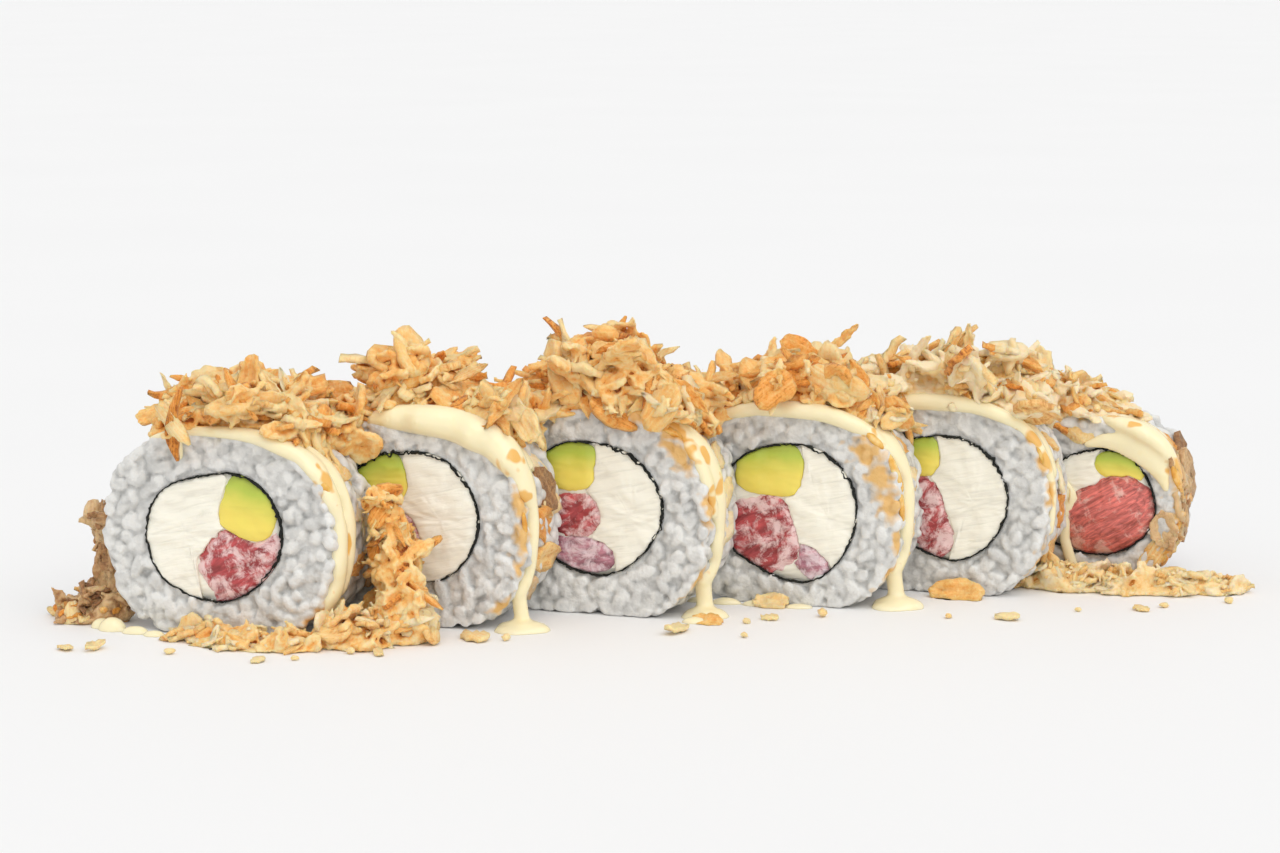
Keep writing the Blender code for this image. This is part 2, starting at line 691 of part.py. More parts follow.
def add_heap(collection, helpers, rng):
    """The crisps heaped over the tops of all the slices, as one body that bridges their gaps."""
    lumps = []
    crisps = []
    for index, (cut, tall) in enumerate(zip(SLICES, HEAP_HEIGHTS), start=1):
        matrix = slice_matrix(index)
        outline = outer_outline(cut)
        for number, (degrees, share) in enumerate(HEAP_LUMPS[index - 1]):
            at, _ = surface_frame(cut, outline, degrees)
            at.y = THICKNESS * rng.uniform(0.45, 0.55)
            size = (9.5 * MM, 11.0 * MM, tall * share)
            lumps.append(placed_lump(f"lump_{index}_{number}", matrix, at, size, helpers, rng))
        if index < len(SLICES):
            at, _ = surface_frame(cut, outline, 56.0)
            at.y = THICKNESS
            size = (10.5 * MM, 10.0 * MM, BRIDGE_HEIGHTS[index - 1])
            lumps.append(placed_lump(f"bridge_{index}", matrix, at, size, helpers, rng))
        for number in range(HEAP_CRISPS_PER_SLICE):
            share = (number + rng.uniform(0.2, 0.8)) / HEAP_CRISPS_PER_SLICE
            low, high = HEAP_ARCS[index - 1]
            at, normal = surface_frame(cut, outline, low + (high - low) * share)
            depth = (0.14, 0.86, 0.5)[number % 3] + rng.uniform(-0.1, 0.1)
            crown = math.sin(math.pi * share) ** 0.6 * math.sin(math.pi * depth) ** 0.5
            at += normal * (1.2 * MM + tall * 0.66 * crown * rng.uniform(0.75, 1.05))
            at.y = THICKNESS * depth
            crisp = turned_crisp(f"crisp_{index}_{number}", at, normal, rng, helpers, lean=0.75)
            crisp.matrix_world = matrix @ crisp.matrix_world
            crisps.append(crisp)
    heap = add_object("crisp_heap", lumps[0].data.copy(), collection, None, "crisps")
    heap.matrix_world = lumps[0].matrix_world.copy()
    bpy.data.objects.remove(lumps[0])
    boolean(heap, lumps[1:] + crisps, "UNION")
    boolean(heap, cutters(range(1, len(SLICES) + 1), helpers), "DIFFERENCE")
    keep_largest(heap)
    return heap


def add_fallen(name, spots, indices, collection, helpers, rng):
    """Crisps fallen at the foot of the slices, with a flat underside on the ground."""
    pieces = []
    for number, (index, u, depth, low, high, radius) in enumerate(spots):
        matrix = slice_matrix(index)
        at = Vector((u, depth, (low + high) / 2.0)) * MM
        size = (radius * MM, radius * 0.8 * MM, (high - low) / 2.0 * MM)
        pieces.append(placed_lump(f"{name}_lump_{number}", matrix, at, size, helpers, rng))
        for turn in range(1 + number % 2):
            spread = Vector((rng.uniform(-0.7, 0.7), rng.uniform(-0.5, 0.5), 0.0)) * radius * MM
            spot = Vector((u, depth, high - 1.0)) * MM + spread
            crisp = turned_crisp(
                f"{name}_{number}_{turn}", spot, Vector((0, 0, 1)), rng, helpers,
                (5.0 * MM, 9.0 * MM), 0.3,
            )
            crisp.matrix_world = matrix @ crisp.matrix_world
            pieces.append(crisp)
    pile = add_object(name, pieces[0].data.copy(), collection, None, "crisps")
    pile.matrix_world = pieces[0].matrix_world.copy()
    bpy.data.objects.remove(pieces[0])
    boolean(pile, pieces[1:], "UNION")
    ground = bmesh.new()
    bmesh.ops.create_cube(ground, size=0.2)
    block = add_object(f"{name}_ground", finished_mesh("ground", ground), helpers)
    block.location = pile.matrix_world.translation + Vector((0.0, 0.0, -0.1))
    block.location.z = -0.1
    boolean(pile, cutters(indices, helpers) + [block], "DIFFERENCE")
    keep_largest(pile)
    return pile


def bottom_centre(objects):
    """Middle of the underside of the box round the objects."""
    bpy.context.view_layer.update()
    corners = [obj.matrix_world @ vert.co for obj in objects for vert in obj.data.vertices]
    low = Vector([min(corner[axis] for corner in corners) for axis in range(3)])
    high = Vector([max(corner[axis] for corner in corners) for axis in range(3)])
    return Vector(((low.x + high.x) / 2.0, (low.y + high.y) / 2.0, low.z))


def main():
    clear_scene()
    roll = make_collection("uramaki_roll")
    helpers = make_collection("helpers", in_render=False)
    row = bpy.data.objects.new("row", None)
    roll.objects.link(row)
    rng = random.Random(11)
    for index, (cut, fillings) in enumerate(zip(SLICES, FILLINGS), start=1):
        holder = bpy.data.objects.new(f"slice_{index}", None)
        roll.objects.link(holder)
        holder.matrix_world = slice_matrix(index)
        holder.parent = row
        rice = add_rice(index, cut, roll, holder, rng)
        add_seaweed(index, cut, roll, holder)
        add_fillings(index, cut, fillings, roll, holder)
        dress_rice(index, cut, rice, helpers, rng)
    add_heap(roll, helpers, rng).parent = row
    for name, spots in FALLEN.items():
        add_fallen(name, spots, FALLEN_BY[name], roll, helpers, rng).parent = row
    row.location = -bottom_centre([obj for obj in roll.objects if obj.type == "MESH"])


main()
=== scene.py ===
"""Looks of the uramaki roll: rice grains, nori, fillings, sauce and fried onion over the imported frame.

Units are metres in the frame's own axes. In a slice's own frame, X runs along the cut face to its
right, Y runs from the front cut to the back cut, and the slice stands on Z = 0.
"""

import math
import random
from collections import namedtuple

import bmesh
import bpy
import numpy as np
from bpy.props import FloatProperty, FloatVectorProperty, IntProperty, PointerProperty
from mathutils import Matrix, Vector, noise
from mathutils.kdtree import KDTree


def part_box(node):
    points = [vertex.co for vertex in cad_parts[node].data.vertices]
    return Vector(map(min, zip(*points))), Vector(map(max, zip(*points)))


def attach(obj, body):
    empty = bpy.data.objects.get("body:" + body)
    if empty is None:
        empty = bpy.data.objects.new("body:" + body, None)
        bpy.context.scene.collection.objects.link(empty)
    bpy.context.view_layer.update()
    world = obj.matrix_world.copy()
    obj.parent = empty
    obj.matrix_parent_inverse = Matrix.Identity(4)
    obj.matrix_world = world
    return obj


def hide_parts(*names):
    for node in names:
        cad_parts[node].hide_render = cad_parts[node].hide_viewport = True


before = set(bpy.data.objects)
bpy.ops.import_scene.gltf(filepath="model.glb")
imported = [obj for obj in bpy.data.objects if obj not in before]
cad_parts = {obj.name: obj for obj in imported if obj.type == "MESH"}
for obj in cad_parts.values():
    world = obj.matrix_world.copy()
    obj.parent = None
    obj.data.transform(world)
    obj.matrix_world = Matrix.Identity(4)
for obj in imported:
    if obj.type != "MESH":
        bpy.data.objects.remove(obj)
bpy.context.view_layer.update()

bl_info = {
    "name": "Uramaki roll",
    "version": (1, 0, 0),
    "blender": (4, 5, 0),
    "location": "View3D > Sidebar > Uramaki",
    "description": "Dresses the packed uramaki roll with rice, nori, fillings, sauce and fried onion",
    "category": "Object",
}

MM = 0.001
UP = Vector((0.0, 0.0, 1.0))

# How far above the ground each kind of thing stays
GRAIN_LIFT = 0.02 * MM
SAUCE_LIFT = 0.03 * MM
CRUMB_LIFT = 0.03 * MM
ONION_LIFT = 0.04 * MM

# The row of slices, as the solids have it
THICKNESS = 22.0 * MM
FACE_GAP = 0.8 * MM
SLIDES = (34.6 * MM, 33.5 * MM, 37.4 * MM, 29.3 * MM, 28.6 * MM)
STEP = THICKNESS + FACE_GAP
TURN = math.atan2(len(SLIDES) * STEP, sum(SLIDES))
OUTER_POWER = 2.5
BOTTOM_SQUASH = 1.07
RING_POWER = 2.15
RING_WOBBLE = 0.022
CLEARANCE = 0.3 * MM
SEAWEED_THICKNESS = 0.5 * MM
SEAWEED_SEGMENTS = 20

Slice = namedtuple("Slice", "width height ring_u ring_z ring_width ring_height ring_tilt")
SLICES = (
    Slice(53.0 * MM, 44.0 * MM, -0.8 * MM, 21.6 * MM, 32.6 * MM, 28.2 * MM, 12.0),
    Slice(52.5 * MM, 45.0 * MM, 0.4 * MM, 24.2 * MM, 32.0 * MM, 28.6 * MM, -14.0),
    Slice(53.0 * MM, 45.5 * MM, 0.2 * MM, 23.9 * MM, 32.0 * MM, 30.0 * MM, -18.0),
    Slice(52.0 * MM, 44.0 * MM, 0.8 * MM, 21.2 * MM, 32.4 * MM, 31.4 * MM, -20.0),
    Slice(51.0 * MM, 43.6 * MM, 1.0 * MM, 22.4 * MM, 32.0 * MM, 28.4 * MM, -20.0),
    Slice(45.0 * MM, 38.0 * MM, 3.6 * MM, 18.7 * MM, 28.5 * MM, 25.4 * MM, 10.0),
)

# Middle, half width and half height in millimetres on the cut face, tilt in degrees, squareness
Filling = namedtuple("Filling", "kind u z half_width half_height tilt power")
FILLINGS = (
    (
        Filling("avocado", 7.6, 28.6, 6.6, 7.2, -18.0, 3.0),
        Filling("tuna", 6.2, 15.6, 10.4, 8.6, 32.0, 3.0),
        Filling("cream_cheese", -7.6, 22.4, 14.0, 16.0, 0.0, 2.0),
    ),
    (
        Filling("avocado", -7.0, 31.8, 6.2, 6.2, 8.0, 2.8),
        Filling("tuna", -5.4, 17.2, 7.6, 7.8, 0.0, 2.6),
        Filling("cream_cheese", 7.0, 23.6, 16.0, 18.0, 0.0, 2.0),
    ),
    (
        Filling("avocado", -5.2, 33.0, 5.8, 5.8, -8.0, 3.2),
        Filling("tuna", -4.4, 22.0, 6.2, 4.8, 0.0, 2.8),
        Filling("pale_tuna", -3.2, 13.2, 8.6, 4.0, -4.0, 2.4),
        Filling("cream_cheese", 8.8, 22.6, 16.0, 18.0, 0.0, 2.0),
    ),
    (
        Filling("avocado", -3.7, 30.8, 7.6, 6.4, -6.0, 3.4),
        Filling("tuna", -6.0, 15.4, 8.4, 9.2, 14.0, 3.0),
        Filling("pale_tuna", 5.9, 9.8, 5.0, 3.1, -42.0, 2.2),
        Filling("cream_cheese", 9.8, 20.8, 16.0, 18.0, 0.0, 2.0),
    ),
    (
        Filling("avocado", -4.8, 31.6, 5.0, 4.9, -3.0, 3.4),
        Filling("tuna", -2.6, 17.6, 5.2, 9.8, 22.0, 2.6),
        Filling("cream_cheese", 8.4, 21.6, 16.0, 18.0, 0.0, 2.0),
    ),
    (
        Filling("tuna", 6.9, 15.6, 11.8, 8.6, 22.0, 2.1),
        Filling("avocado", 9.2, 27.0, 5.8, 3.4, -16.0, 2.4),
        Filling("cream_cheese", -2.9, 23.6, 12.0, 12.0, 0.0, 2.0),
    ),
)
END_TUNA_REACH = 2.4 * MM

# Camera, as places in the photograph's own axes: right, away and up from the first slice's foot
CAMERA_OFFSET = Vector((89.6, -628.1, 144.8)) * MM
CAMERA_DIP = math.radians(9.0)
ROW_RECEDES = math.radians(16.6)
CAMERA_LENS = 85.0


def linear(code):
    """Linear colour of an sRGB hex value."""
    values = [int(code[i : i + 2], 16) / 255.0 for i in (1, 3, 5)]
    return tuple(v / 12.92 if v <= 0.04045 else ((v + 0.055) / 1.055) ** 2.4 for v in values)


def size_prop(name, description, default_mm):
    return FloatProperty(
        name=name, description=description, default=default_mm * MM, unit="LENGTH", precision=5
    )


def colour_prop(name, description, code):
    return FloatVectorProperty(
        name=name, description=description, default=linear(code), subtype="COLOR", min=0.0, max=1.0
    )


class UramakiSizes(bpy.types.PropertyGroup):
    """Real sizes of the grains, flakes and strands."""

    grain_length: size_prop("Grain length", "Length of a cooked rice grain", 5.4)
    grain_width: size_prop("Grain width", "Width of a cooked rice grain", 2.9)
    grain_pitch: size_prop("Grain pitch", "Distance between neighbouring grains", 2.75)
    nori_thickness: size_prop("Nori thickness", "Thickness of the damp seaweed sheet", 0.27)
    rice_voxel: size_prop("Rice fineness", "Cell size that the grains are stuck together at", 0.39)
    sauce_voxel: size_prop("Sauce fineness", "Cell size that the sauce is melted together at", 0.44)
    onion_voxel: size_prop("Onion fineness", "Cell size that the onion is stuck together at", 0.5)
    heap_pieces: IntProperty(
        name="Heap pieces", description="Number of onion pieces over the row", default=2000, min=100
    )


class UramakiColours(bpy.types.PropertyGroup):
    """Main colours of the food."""

    rice: colour_prop("Rice", "Steamed short-grain rice", "#D9D8D4")
    nori: colour_prop("Nori", "Toasted seaweed sheet", "#12150F")
    cheese: colour_prop("Cream cheese", "Soft cheese", "#FBF6E6")
    avocado_flesh: colour_prop("Avocado flesh", "Yellow inner flesh", "#F6E068")
    avocado_rim: colour_prop("Avocado rim", "Green flesh under the skin", "#BCCB50")
    tuna: colour_prop("Tuna", "Raw tuna", "#B44C4E")
    pale_fish: colour_prop("Pale fish", "Frosted paler fish", "#B47A86")
    end_tuna: colour_prop("End tuna", "Fresh cut of tuna that bulges from the end slice", "#D4736A")
    sauce: colour_prop("Sauce", "Thick egg and oil sauce", "#FCEFC6")
    floor: colour_prop("Floor", "Pale studio floor", "#F4F4F4")


def sizes():
    return bpy.context.scene.uramaki_sizes


def colours():
    return bpy.context.scene.uramaki_colours


def superellipse(angle, half_width, half_height, power, tilt=0.0):
    """Distance from the middle to the edge along an angle, for a rounded box of that power."""
    a = angle - math.radians(tilt)
    across = abs(math.cos(a) / half_width) ** power
    up = abs(math.sin(a) / half_height) ** power
    return (across + up) ** (-1.0 / power)


def angles_of(count):
    return [2.0 * math.pi * i / count for i in range(count)]


def reach(outline, origin, angle):
    """Distance from origin along angle to the nearest side of a closed outline, or None."""
    points = np.asarray(outline)
    ends = np.roll(points, -1, axis=0)
    edge = ends - points
    ray = (math.cos(angle), math.sin(angle))
    cross = ray[0] * edge[:, 1] - ray[1] * edge[:, 0]
    cross = np.where(np.abs(cross) < 1e-15, 1e-15, cross)
    off = points - np.asarray(origin)
    along = (off[:, 0] * edge[:, 1] - off[:, 1] * edge[:, 0]) / cross
    share = (off[:, 0] * ray[1] - off[:, 1] * ray[0]) / cross
    hits = along[(along > 0.0) & (share >= -1e-9) & (share <= 1.0 + 1e-9)]
    return float(hits.min()) if len(hits) else None


def outer_outline(cut, count=96):
    """The slice's outside on the cut face: a rounded box that has settled flat on the ground."""
    middle = cut.height / 2.0
    points = []
    for angle in angles_of(count):
        low = BOTTOM_SQUASH if math.sin(angle) < 0.0 else 1.0
        distance = superellipse(angle, cut.width / 2.0, middle * low, OUTER_POWER)
        points.append((distance * math.cos(angle), max(0.0, middle + distance * math.sin(angle))))
    return points


def ring_reach(cut, angle):
    """Distance from the ring's middle to the inside of the rice, a little uneven."""
    distance = superellipse(
        angle, cut.ring_width / 2.0, cut.ring_height / 2.0, RING_POWER, cut.ring_tilt
    )
    wobble = math.sin(3.0 * angle + cut.ring_tilt) + 0.6 * math.sin(5.0 * angle + 2.0)
    return distance * (1.0 + RING_WOBBLE * wobble)


def ring_outline(cut, inset, count):
    return [
        (
            cut.ring_u + (ring_reach(cut, angle) - inset) * math.cos(angle),
            cut.ring_z + (ring_reach(cut, angle) - inset) * math.sin(angle),
        )
        for angle in angles_of(count)
    ]


def first_slice_foot():
    """Place of the first slice's own frame, read from where its seaweed solid lies."""
    low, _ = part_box("seaweed_1")
    across = [u for u, _ in ring_outline(SLICES[0], CLEARANCE, SEAWEED_SEGMENTS)]
    return Vector((low.x - min(across) * math.cos(TURN), low.y + max(across) * math.sin(TURN), 0.0))


FOOT = first_slice_foot()


def slice_matrix(index):
    """Place of a slice's own frame in the row."""
    turn = Matrix.Rotation(-TURN, 4, "Z")
    shift = turn @ Vector((sum(SLIDES[: index - 1]), STEP * (index - 1), 0.0))
    return Matrix.Translation(FOOT + shift) @ turn


def outline_point(cut, outline, degrees):
    """A point on the slice's outside at an angle about the middle of the cut face."""
    angle = math.radians(degrees)
    middle = (0.0, cut.height / 2.0)
    distance = reach(outline, middle, angle)
    return Vector((distance * math.cos(angle), 0.0, middle[1] + distance * math.sin(angle)))


def surface_frame(cut, outline, degrees):
    """Point and outward normal of the slice's outside, in its own frame, at the front cut."""
    here = outline_point(cut, outline, degrees)
    tangent = outline_point(cut, outline, degrees + 3.0) - outline_point(cut, outline, degrees - 3.0)
    tangent.normalize()
    return here, Vector((tangent.z, 0.0, -tangent.x))


def of_slice(rows, index):
    """The rows of a table that belong to a slice, without its number."""
    return [row[1:] for row in rows if row[0] == index]


def rows_of(items, key, width=3, kind=float):
    """One property of every item of a mesh, as the rows of an array."""
    values = np.zeros(len(items) * width, kind)
    items.foreach_get(key, values)
    return values.reshape(-1, width)


def wave(point, size, seed=0.0):
    """Smooth noise between -1 and 1 that changes over a length."""
    return noise.noise(Vector(point) / size + Vector((seed, 2.0 * seed, -seed)))


def add_node(tree, kind, inputs=None, stops=None, **settings):
    """Adds a node with its settings, its input values and links, and a ramp's colour stops."""
    made = tree.nodes.new(kind)
    for key, value in settings.items():
        setattr(made, key, value)
    for key, value in (inputs or {}).items():
        if isinstance(value, bpy.types.NodeSocket):
            tree.links.new(value, made.inputs[key])
        else:
            made.inputs[key].default_value = value
    if stops:
        elements = made.color_ramp.elements
        while len(elements) < len(stops):
            elements.new(0.5)
        for element, (place, colour) in zip(elements, stops):
            element.position = place
            element.color = (*colour, 1.0)
    return made


def cloudy(tree, vector, size, **settings):
    """Noise whose features are about that large, as its output."""
    inputs = {key.title(): value for key, value in settings.items()}
    made = add_node(tree, "ShaderNodeTexNoise", {"Vector": vector, "Scale": 1.0 / size, **inputs})
    return made.outputs["Fac"]


def attribute(tree, name):
    return add_node(tree, "ShaderNodeAttribute", attribute_name=name).outputs["Fac"]


def scaled_sum(tree, value, share, added):
    """A value times a share, plus another value."""
    return add_node(
        tree, "ShaderNodeMath", {0: value, 1: share, 2: added}, operation="MULTIPLY_ADD"
    ).outputs["Value"]


def ramped(tree, value, stops):
    """Colour of a value on a ramp."""
    return add_node(tree, "ShaderNodeValToRGB", {"Fac": value}, stops=stops).outputs["Color"]


def covered(tree, colour, value, low, high, most, code):
    """A colour covered by another one where a value passes from low to high, up to a largest share."""
    share = add_node(
        tree, "ShaderNodeMapRange", {"Value": value, "From Min": low, "From Max": high, "To Max": most}
    )
    mix = add_node(
        tree, "ShaderNodeMix", {"Factor": share.outputs["Result"], 6: colour}, data_type="RGBA"
    )
    mix.inputs[7].default_value = (*linear(code), 1.0)
    return mix.outputs[2]


def bumped(tree, height, strength, distance, below=None):
    """Relief of that depth, on top of the relief below it."""
    inputs = {"Height": height, "Strength": strength, "Distance": distance}
    if below:
        inputs["Normal"] = below
    return add_node(tree, "ShaderNodeBump", inputs).outputs["Normal"]


def finished(made, colour, relief=None):
    """Links a material's colour and relief to its shader."""
    tree = made.node_tree
    shader = tree.nodes["Principled BSDF"]
    tree.links.new(colour, shader.inputs["Base Color"])
    if relief:
        tree.links.new(relief, shader.inputs["Normal"])
    return made


def new_material(name, glow=None, **values):
    """A material, its tree and the place on the object; glow is how far each colour seeps through it."""
    made = bpy.data.materials.new(name)
    made.use_nodes = True
    shader = made.node_tree.nodes["Principled BSDF"]
    for key, value in values.items():
        shader.inputs[key.replace("_", " ").title().replace("Ior", "IOR")].default_value = value
    if glow:
        shader.inputs["Subsurface Radius"].default_value = glow
    coords = add_node(made.node_tree, "ShaderNodeTexCoord")
    return made, made.node_tree, coords.outputs["Object"]


def shaded(colour, factor):
    """A lighter or darker version of a colour."""
    return tuple(min(1.0, value * factor) for value in colour)


def rice_material():
    """Steamed short-grain rice, moist and a little see-through, browned where oil has soaked in."""
    made, tree, place = new_material(
        "steamed_rice", (1.0, 0.92, 0.8), roughness=0.32, ior=1.40, subsurface_weight=0.25,
        subsurface_scale=0.0005,
    )
    base = tuple(colours().rice)
    cloud = cloudy(tree, place, 2.6 * MM, detail=4.0)
    # The tone ramp is partly each grain's own tone and partly painted light: painted shade where the tone
    # is lowered in the hollows between grains, a painted highlight where it is raised on their crests.
    colour = ramped(tree, scaled_sum(tree, cloud, 0.9, attribute(tree, "tone")), (
        (0.15, shaded(base, 0.44)), (0.42, shaded(base, 0.74)), (0.68, shaded(base, 0.95)),
        (0.95, shaded(base, 1.16)),
    ))
    oil = scaled_sum(tree, cloud, 0.9, attribute(tree, "stain"))
    # Wrinkles of the starch film, 0.7 mm apart
    film = cloudy(tree, place, 0.7 * MM, detail=3.0)
    return finished(
        made, covered(tree, colour, oil, 0.66, 1.25, 0.85, "#E9B65C"), bumped(tree, film, 0.85, 0.32 * MM)
    )


def nori_material():
    """Toasted seaweed sheet, damp from the rice: near black, crinkled, with a dull sheen."""
    made, tree, place = new_material("nori", roughness=0.62, ior=1.4)
    base = tuple(colours().nori)
    grain = cloudy(tree, place, 0.9 * MM, detail=4.0)
    colour = ramped(tree, grain, ((0.3, shaded(base, 0.6)), (0.6, base), (0.85, linear("#2A3324"))))
    return finished(made, colour, bumped(tree, grain, 0.7, 0.25 * MM))


def streaks(tree, place, turn, along, across, detail=3.0):
    """Noise drawn out along one direction of the cut face."""
    flat = add_node(tree, "ShaderNodeMapping", {"Vector": place, "Rotation": (0.0, 0.0, TURN)})
    turned = add_node(
        tree, "ShaderNodeMapping",
        {"Vector": flat.outputs["Vector"], "Rotation": (0.0, math.radians(turn), 0.0)},
    )
    drawn = add_node(
        tree, "ShaderNodeMapping",
        {"Vector": turned.outputs["Vector"], "Scale": (1.0 / along, 1.0 / across, 1.0 / across)},
    )
    return cloudy(tree, drawn.outputs["Vector"], 1.0, detail=detail, distortion=0.6)


def cheese_material():
    """Soft cream cheese, cut with a wet knife, so it is bright and matt with dragged streaks."""
    made, tree, place = new_material(
        "cream_cheese", (1.0, 0.9, 0.7), roughness=0.5, ior=1.45, subsurface_weight=0.15,
        subsurface_scale=0.001,
    )
    base = tuple(colours().cheese)
    drag = streaks(tree, place, 12.0, 9.0 * MM, 1.1 * MM)
    colour = ramped(tree, drag, ((0.25, shaded(base, 0.86)), (0.5, base), (0.8, shaded(base, 1.03))))
    return finished(made, colour, bumped(tree, drag, 0.55, 0.5 * MM))


def avocado_material():
    """Ripe avocado, buttery and wet: yellow flesh that turns green where the skin was."""
    made, tree, place = new_material(
        "avocado", (1.0, 0.9, 0.2), roughness=0.26, ior=1.45, subsurface_weight=0.12,
        subsurface_scale=0.0015,
    )
    flesh = tuple(colours().avocado_flesh)
    rim = tuple(colours().avocado_rim)
    between = tuple((a + b) / 2.0 for a, b in zip(flesh, rim))
    cloud = cloudy(tree, place, 5.0 * MM, detail=3.0)
    colour = ramped(
        tree, scaled_sum(tree, cloud, 0.35, attribute(tree, "rim")),
        ((0.15, flesh), (0.55, between), (0.8, rim), (1.0, shaded(rim, 0.82))),
    )
    return finished(made, colour, bumped(tree, cloud, 0.3, 0.4 * MM))


def fish_material(name, base, frost_code, frost_from, turn, fibre=1.3):
    """Raw fish just thawed: moist muscle in thin layers, dusted with pale frost in clouds."""
    made, tree, place = new_material(
        name, (1.0, 0.35, 0.3), roughness=0.36, ior=1.4, subsurface_weight=0.15,
        subsurface_scale=0.0012,
    )
    layers = streaks(tree, place, turn, 5.5 * MM, fibre * MM, detail=4.0)
    flesh = ramped(tree, layers, ((0.30, shaded(base, 0.50)), (0.52, base), (0.72, shaded(base, 1.45))))
    cloud = cloudy(tree, place, 4.2 * MM, detail=9.0, roughness=0.72, distortion=0.5)
    frost = scaled_sum(tree, attribute(tree, "edge"), 0.06, cloud)
    relief = bumped(tree, cloud, 0.6, 0.6 * MM, bumped(tree, layers, 0.7, 0.5 * MM))
    return finished(
        made, covered(tree, flesh, frost, frost_from, frost_from + 0.12, 0.9, frost_code), relief
    )


def sauce_material():
    """Thick sauce of egg yolk and oil, smooth and glossy, pale cream yellow."""
    made, tree, place = new_material(
        "egg_sauce", (1.0, 0.8, 0.45), roughness=0.22, ior=1.47, subsurface_weight=0.2,
        subsurface_scale=0.002,
    )
    base = tuple(colours().sauce)
    colour = ramped(
        tree, cloudy(tree, place, 6.0 * MM, detail=2.0),
        ((0.3, shaded(base, 0.97)), (0.6, base), (0.8, linear("#FAE7B4"))),
    )
    return finished(made, covered(tree, colour, attribute(tree, "stain"), 0.25, 0.6, 0.9, "#EDB456"))


def crisp_material(name, *codes):
    """Onion fried in flour: puffed flakes, pale and floury, amber where their tone is low; in a stuck mass
    that low tone is partly painted shade in its hollows.
    """
    made, tree, place = new_material(
        name, (1.0, 0.6, 0.28), roughness=0.5, ior=1.45, subsurface_weight=0.4,
        subsurface_scale=0.0009, sheen_weight=0.3, sheen_roughness=0.5,
        sheen_tint=(1.0, 0.86, 0.62, 1.0),
    )
    tone = attribute(tree, "tone")
    flour = cloudy(tree, place, 2.8 * MM, detail=6.0, roughness=0.7, distortion=0.8)
    fluff = cloudy(tree, place, 0.6 * MM, detail=3.0, roughness=0.6)
    # Threads of the onion along each flake, from the flake's own width
    threads = add_node(tree, "ShaderNodeCombineXYZ", {"X": attribute(tree, "edge"), "Y": tone})
    lines = cloudy(tree, threads.outputs["Vector"], 0.2, detail=2.0)
    mixed = tone
    for layer, share in ((lines, 0.40), (flour, 0.56), (fluff, 0.30)):
        mixed = scaled_sum(tree, layer, share, mixed)
    stops = tuple(zip((0.48, 0.62, 0.77, 0.97), map(linear, codes)))
    relief = bumped(tree, fluff, 0.7, 0.3 * MM, bumped(tree, flour, 0.8, 0.7 * MM))
    return finished(made, ramped(tree, mixed, stops), relief)


def glaze_material():
    """Oil and spice that bled out of the dressing: a clear amber smear, wet and glossy."""
    made, tree, place = new_material(
        "amber_glaze", (1.0, 0.5, 0.15), roughness=0.16, ior=1.46, subsurface_weight=0.3,
        subsurface_scale=0.002,
    )
    stops = ((0.3, linear("#D8912F")), (0.5, linear("#EDB75C")), (0.7, linear("#F7DA9C")))
    return finished(made, ramped(tree, cloudy(tree, place, 2.5 * MM, detail=3.0), stops))


def floor_material():
    """Matt white paint of a studio cove, with the faintest unevenness."""
    made, tree, place = new_material("matt_studio_paint", roughness=0.7)
    base = tuple(colours().floor)
    unevenness = cloudy(tree, place, 1.0 / 6.0, detail=1.0)
    return finished(made, ramped(tree, unevenness, ((0.3, shaded(base, 0.99)), (0.7, base))))


def place_piece(name, mesh, material, nodes=(), slot=None):
    """Puts a finished mesh in the scene on the one body, in place of the nodes that it stands for."""
    obj = bpy.data.objects.new(name, mesh)
    bpy.context.scene.collection.objects.link(obj)
    mesh.materials.clear()
    mesh.materials.append(material)
    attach(obj, "root")
    if nodes:
        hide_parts(*nodes)
    return obj


def mesh_from(name, bm, matrix=None):
    """Closes a bmesh into a smooth mesh, placed by a matrix."""
    bmesh.ops.recalc_face_normals(bm, faces=bm.faces)
    if matrix:
        bmesh.ops.transform(bm, matrix=matrix, verts=bm.verts)
    mesh = bpy.data.meshes.new(name)
    bm.to_mesh(mesh)
    bm.free()
    mesh.shade_smooth()
    return mesh


def point_values(mesh, name, values):
    attribute = mesh.attributes.new(name, "FLOAT", "POINT")
    attribute.data.foreach_set("value", np.asarray(values, np.float32))


def triangles_of(bm):
    """Corner places and triangles of a small shape, as arrays, to be copied many times."""
    bmesh.ops.triangulate(bm, faces=bm.faces)
    bmesh.ops.recalc_face_normals(bm, faces=bm.faces)
    bm.verts.index_update()
    corners = np.array([vert.co[:] for vert in bm.verts])
    faces = np.array([[vert.index for vert in face.verts] for face in bm.faces])
    bm.free()
    return corners, faces


def joined_copies(name, copies, extra=()):
    """One mesh of many small shapes: copies are (corners, faces, values), values as the extra names."""
    corners, faces, values, start = [], [], {key: [] for key in extra}, 0
    for points, triangles, numbers in copies:
        corners.append(points)
        faces.append(triangles + start)
        start += len(points)
        for key, number in zip(extra, numbers):
            values[key].append(np.broadcast_to(number, len(points)))
    mesh = bpy.data.meshes.new(name)
    mesh.from_pydata(np.concatenate(corners), [], np.concatenate(faces))
    mesh.shade_smooth()
    for key in extra:
        point_values(mesh, key, np.concatenate(values[key]))
    return mesh


def moved(corners, matrix):
    """Places of the corners under a matrix."""
    array = np.array(matrix)
    return corners @ array[:3, :3].T + array[:3, 3]


def facing(normal, spin):
    """A turn that lays a flat shape on a surface with that normal, spun about it."""
    return normal.to_track_quat("Z", "Y").to_matrix().to_4x4() @ Matrix.Rotation(spin, 4, "Z")


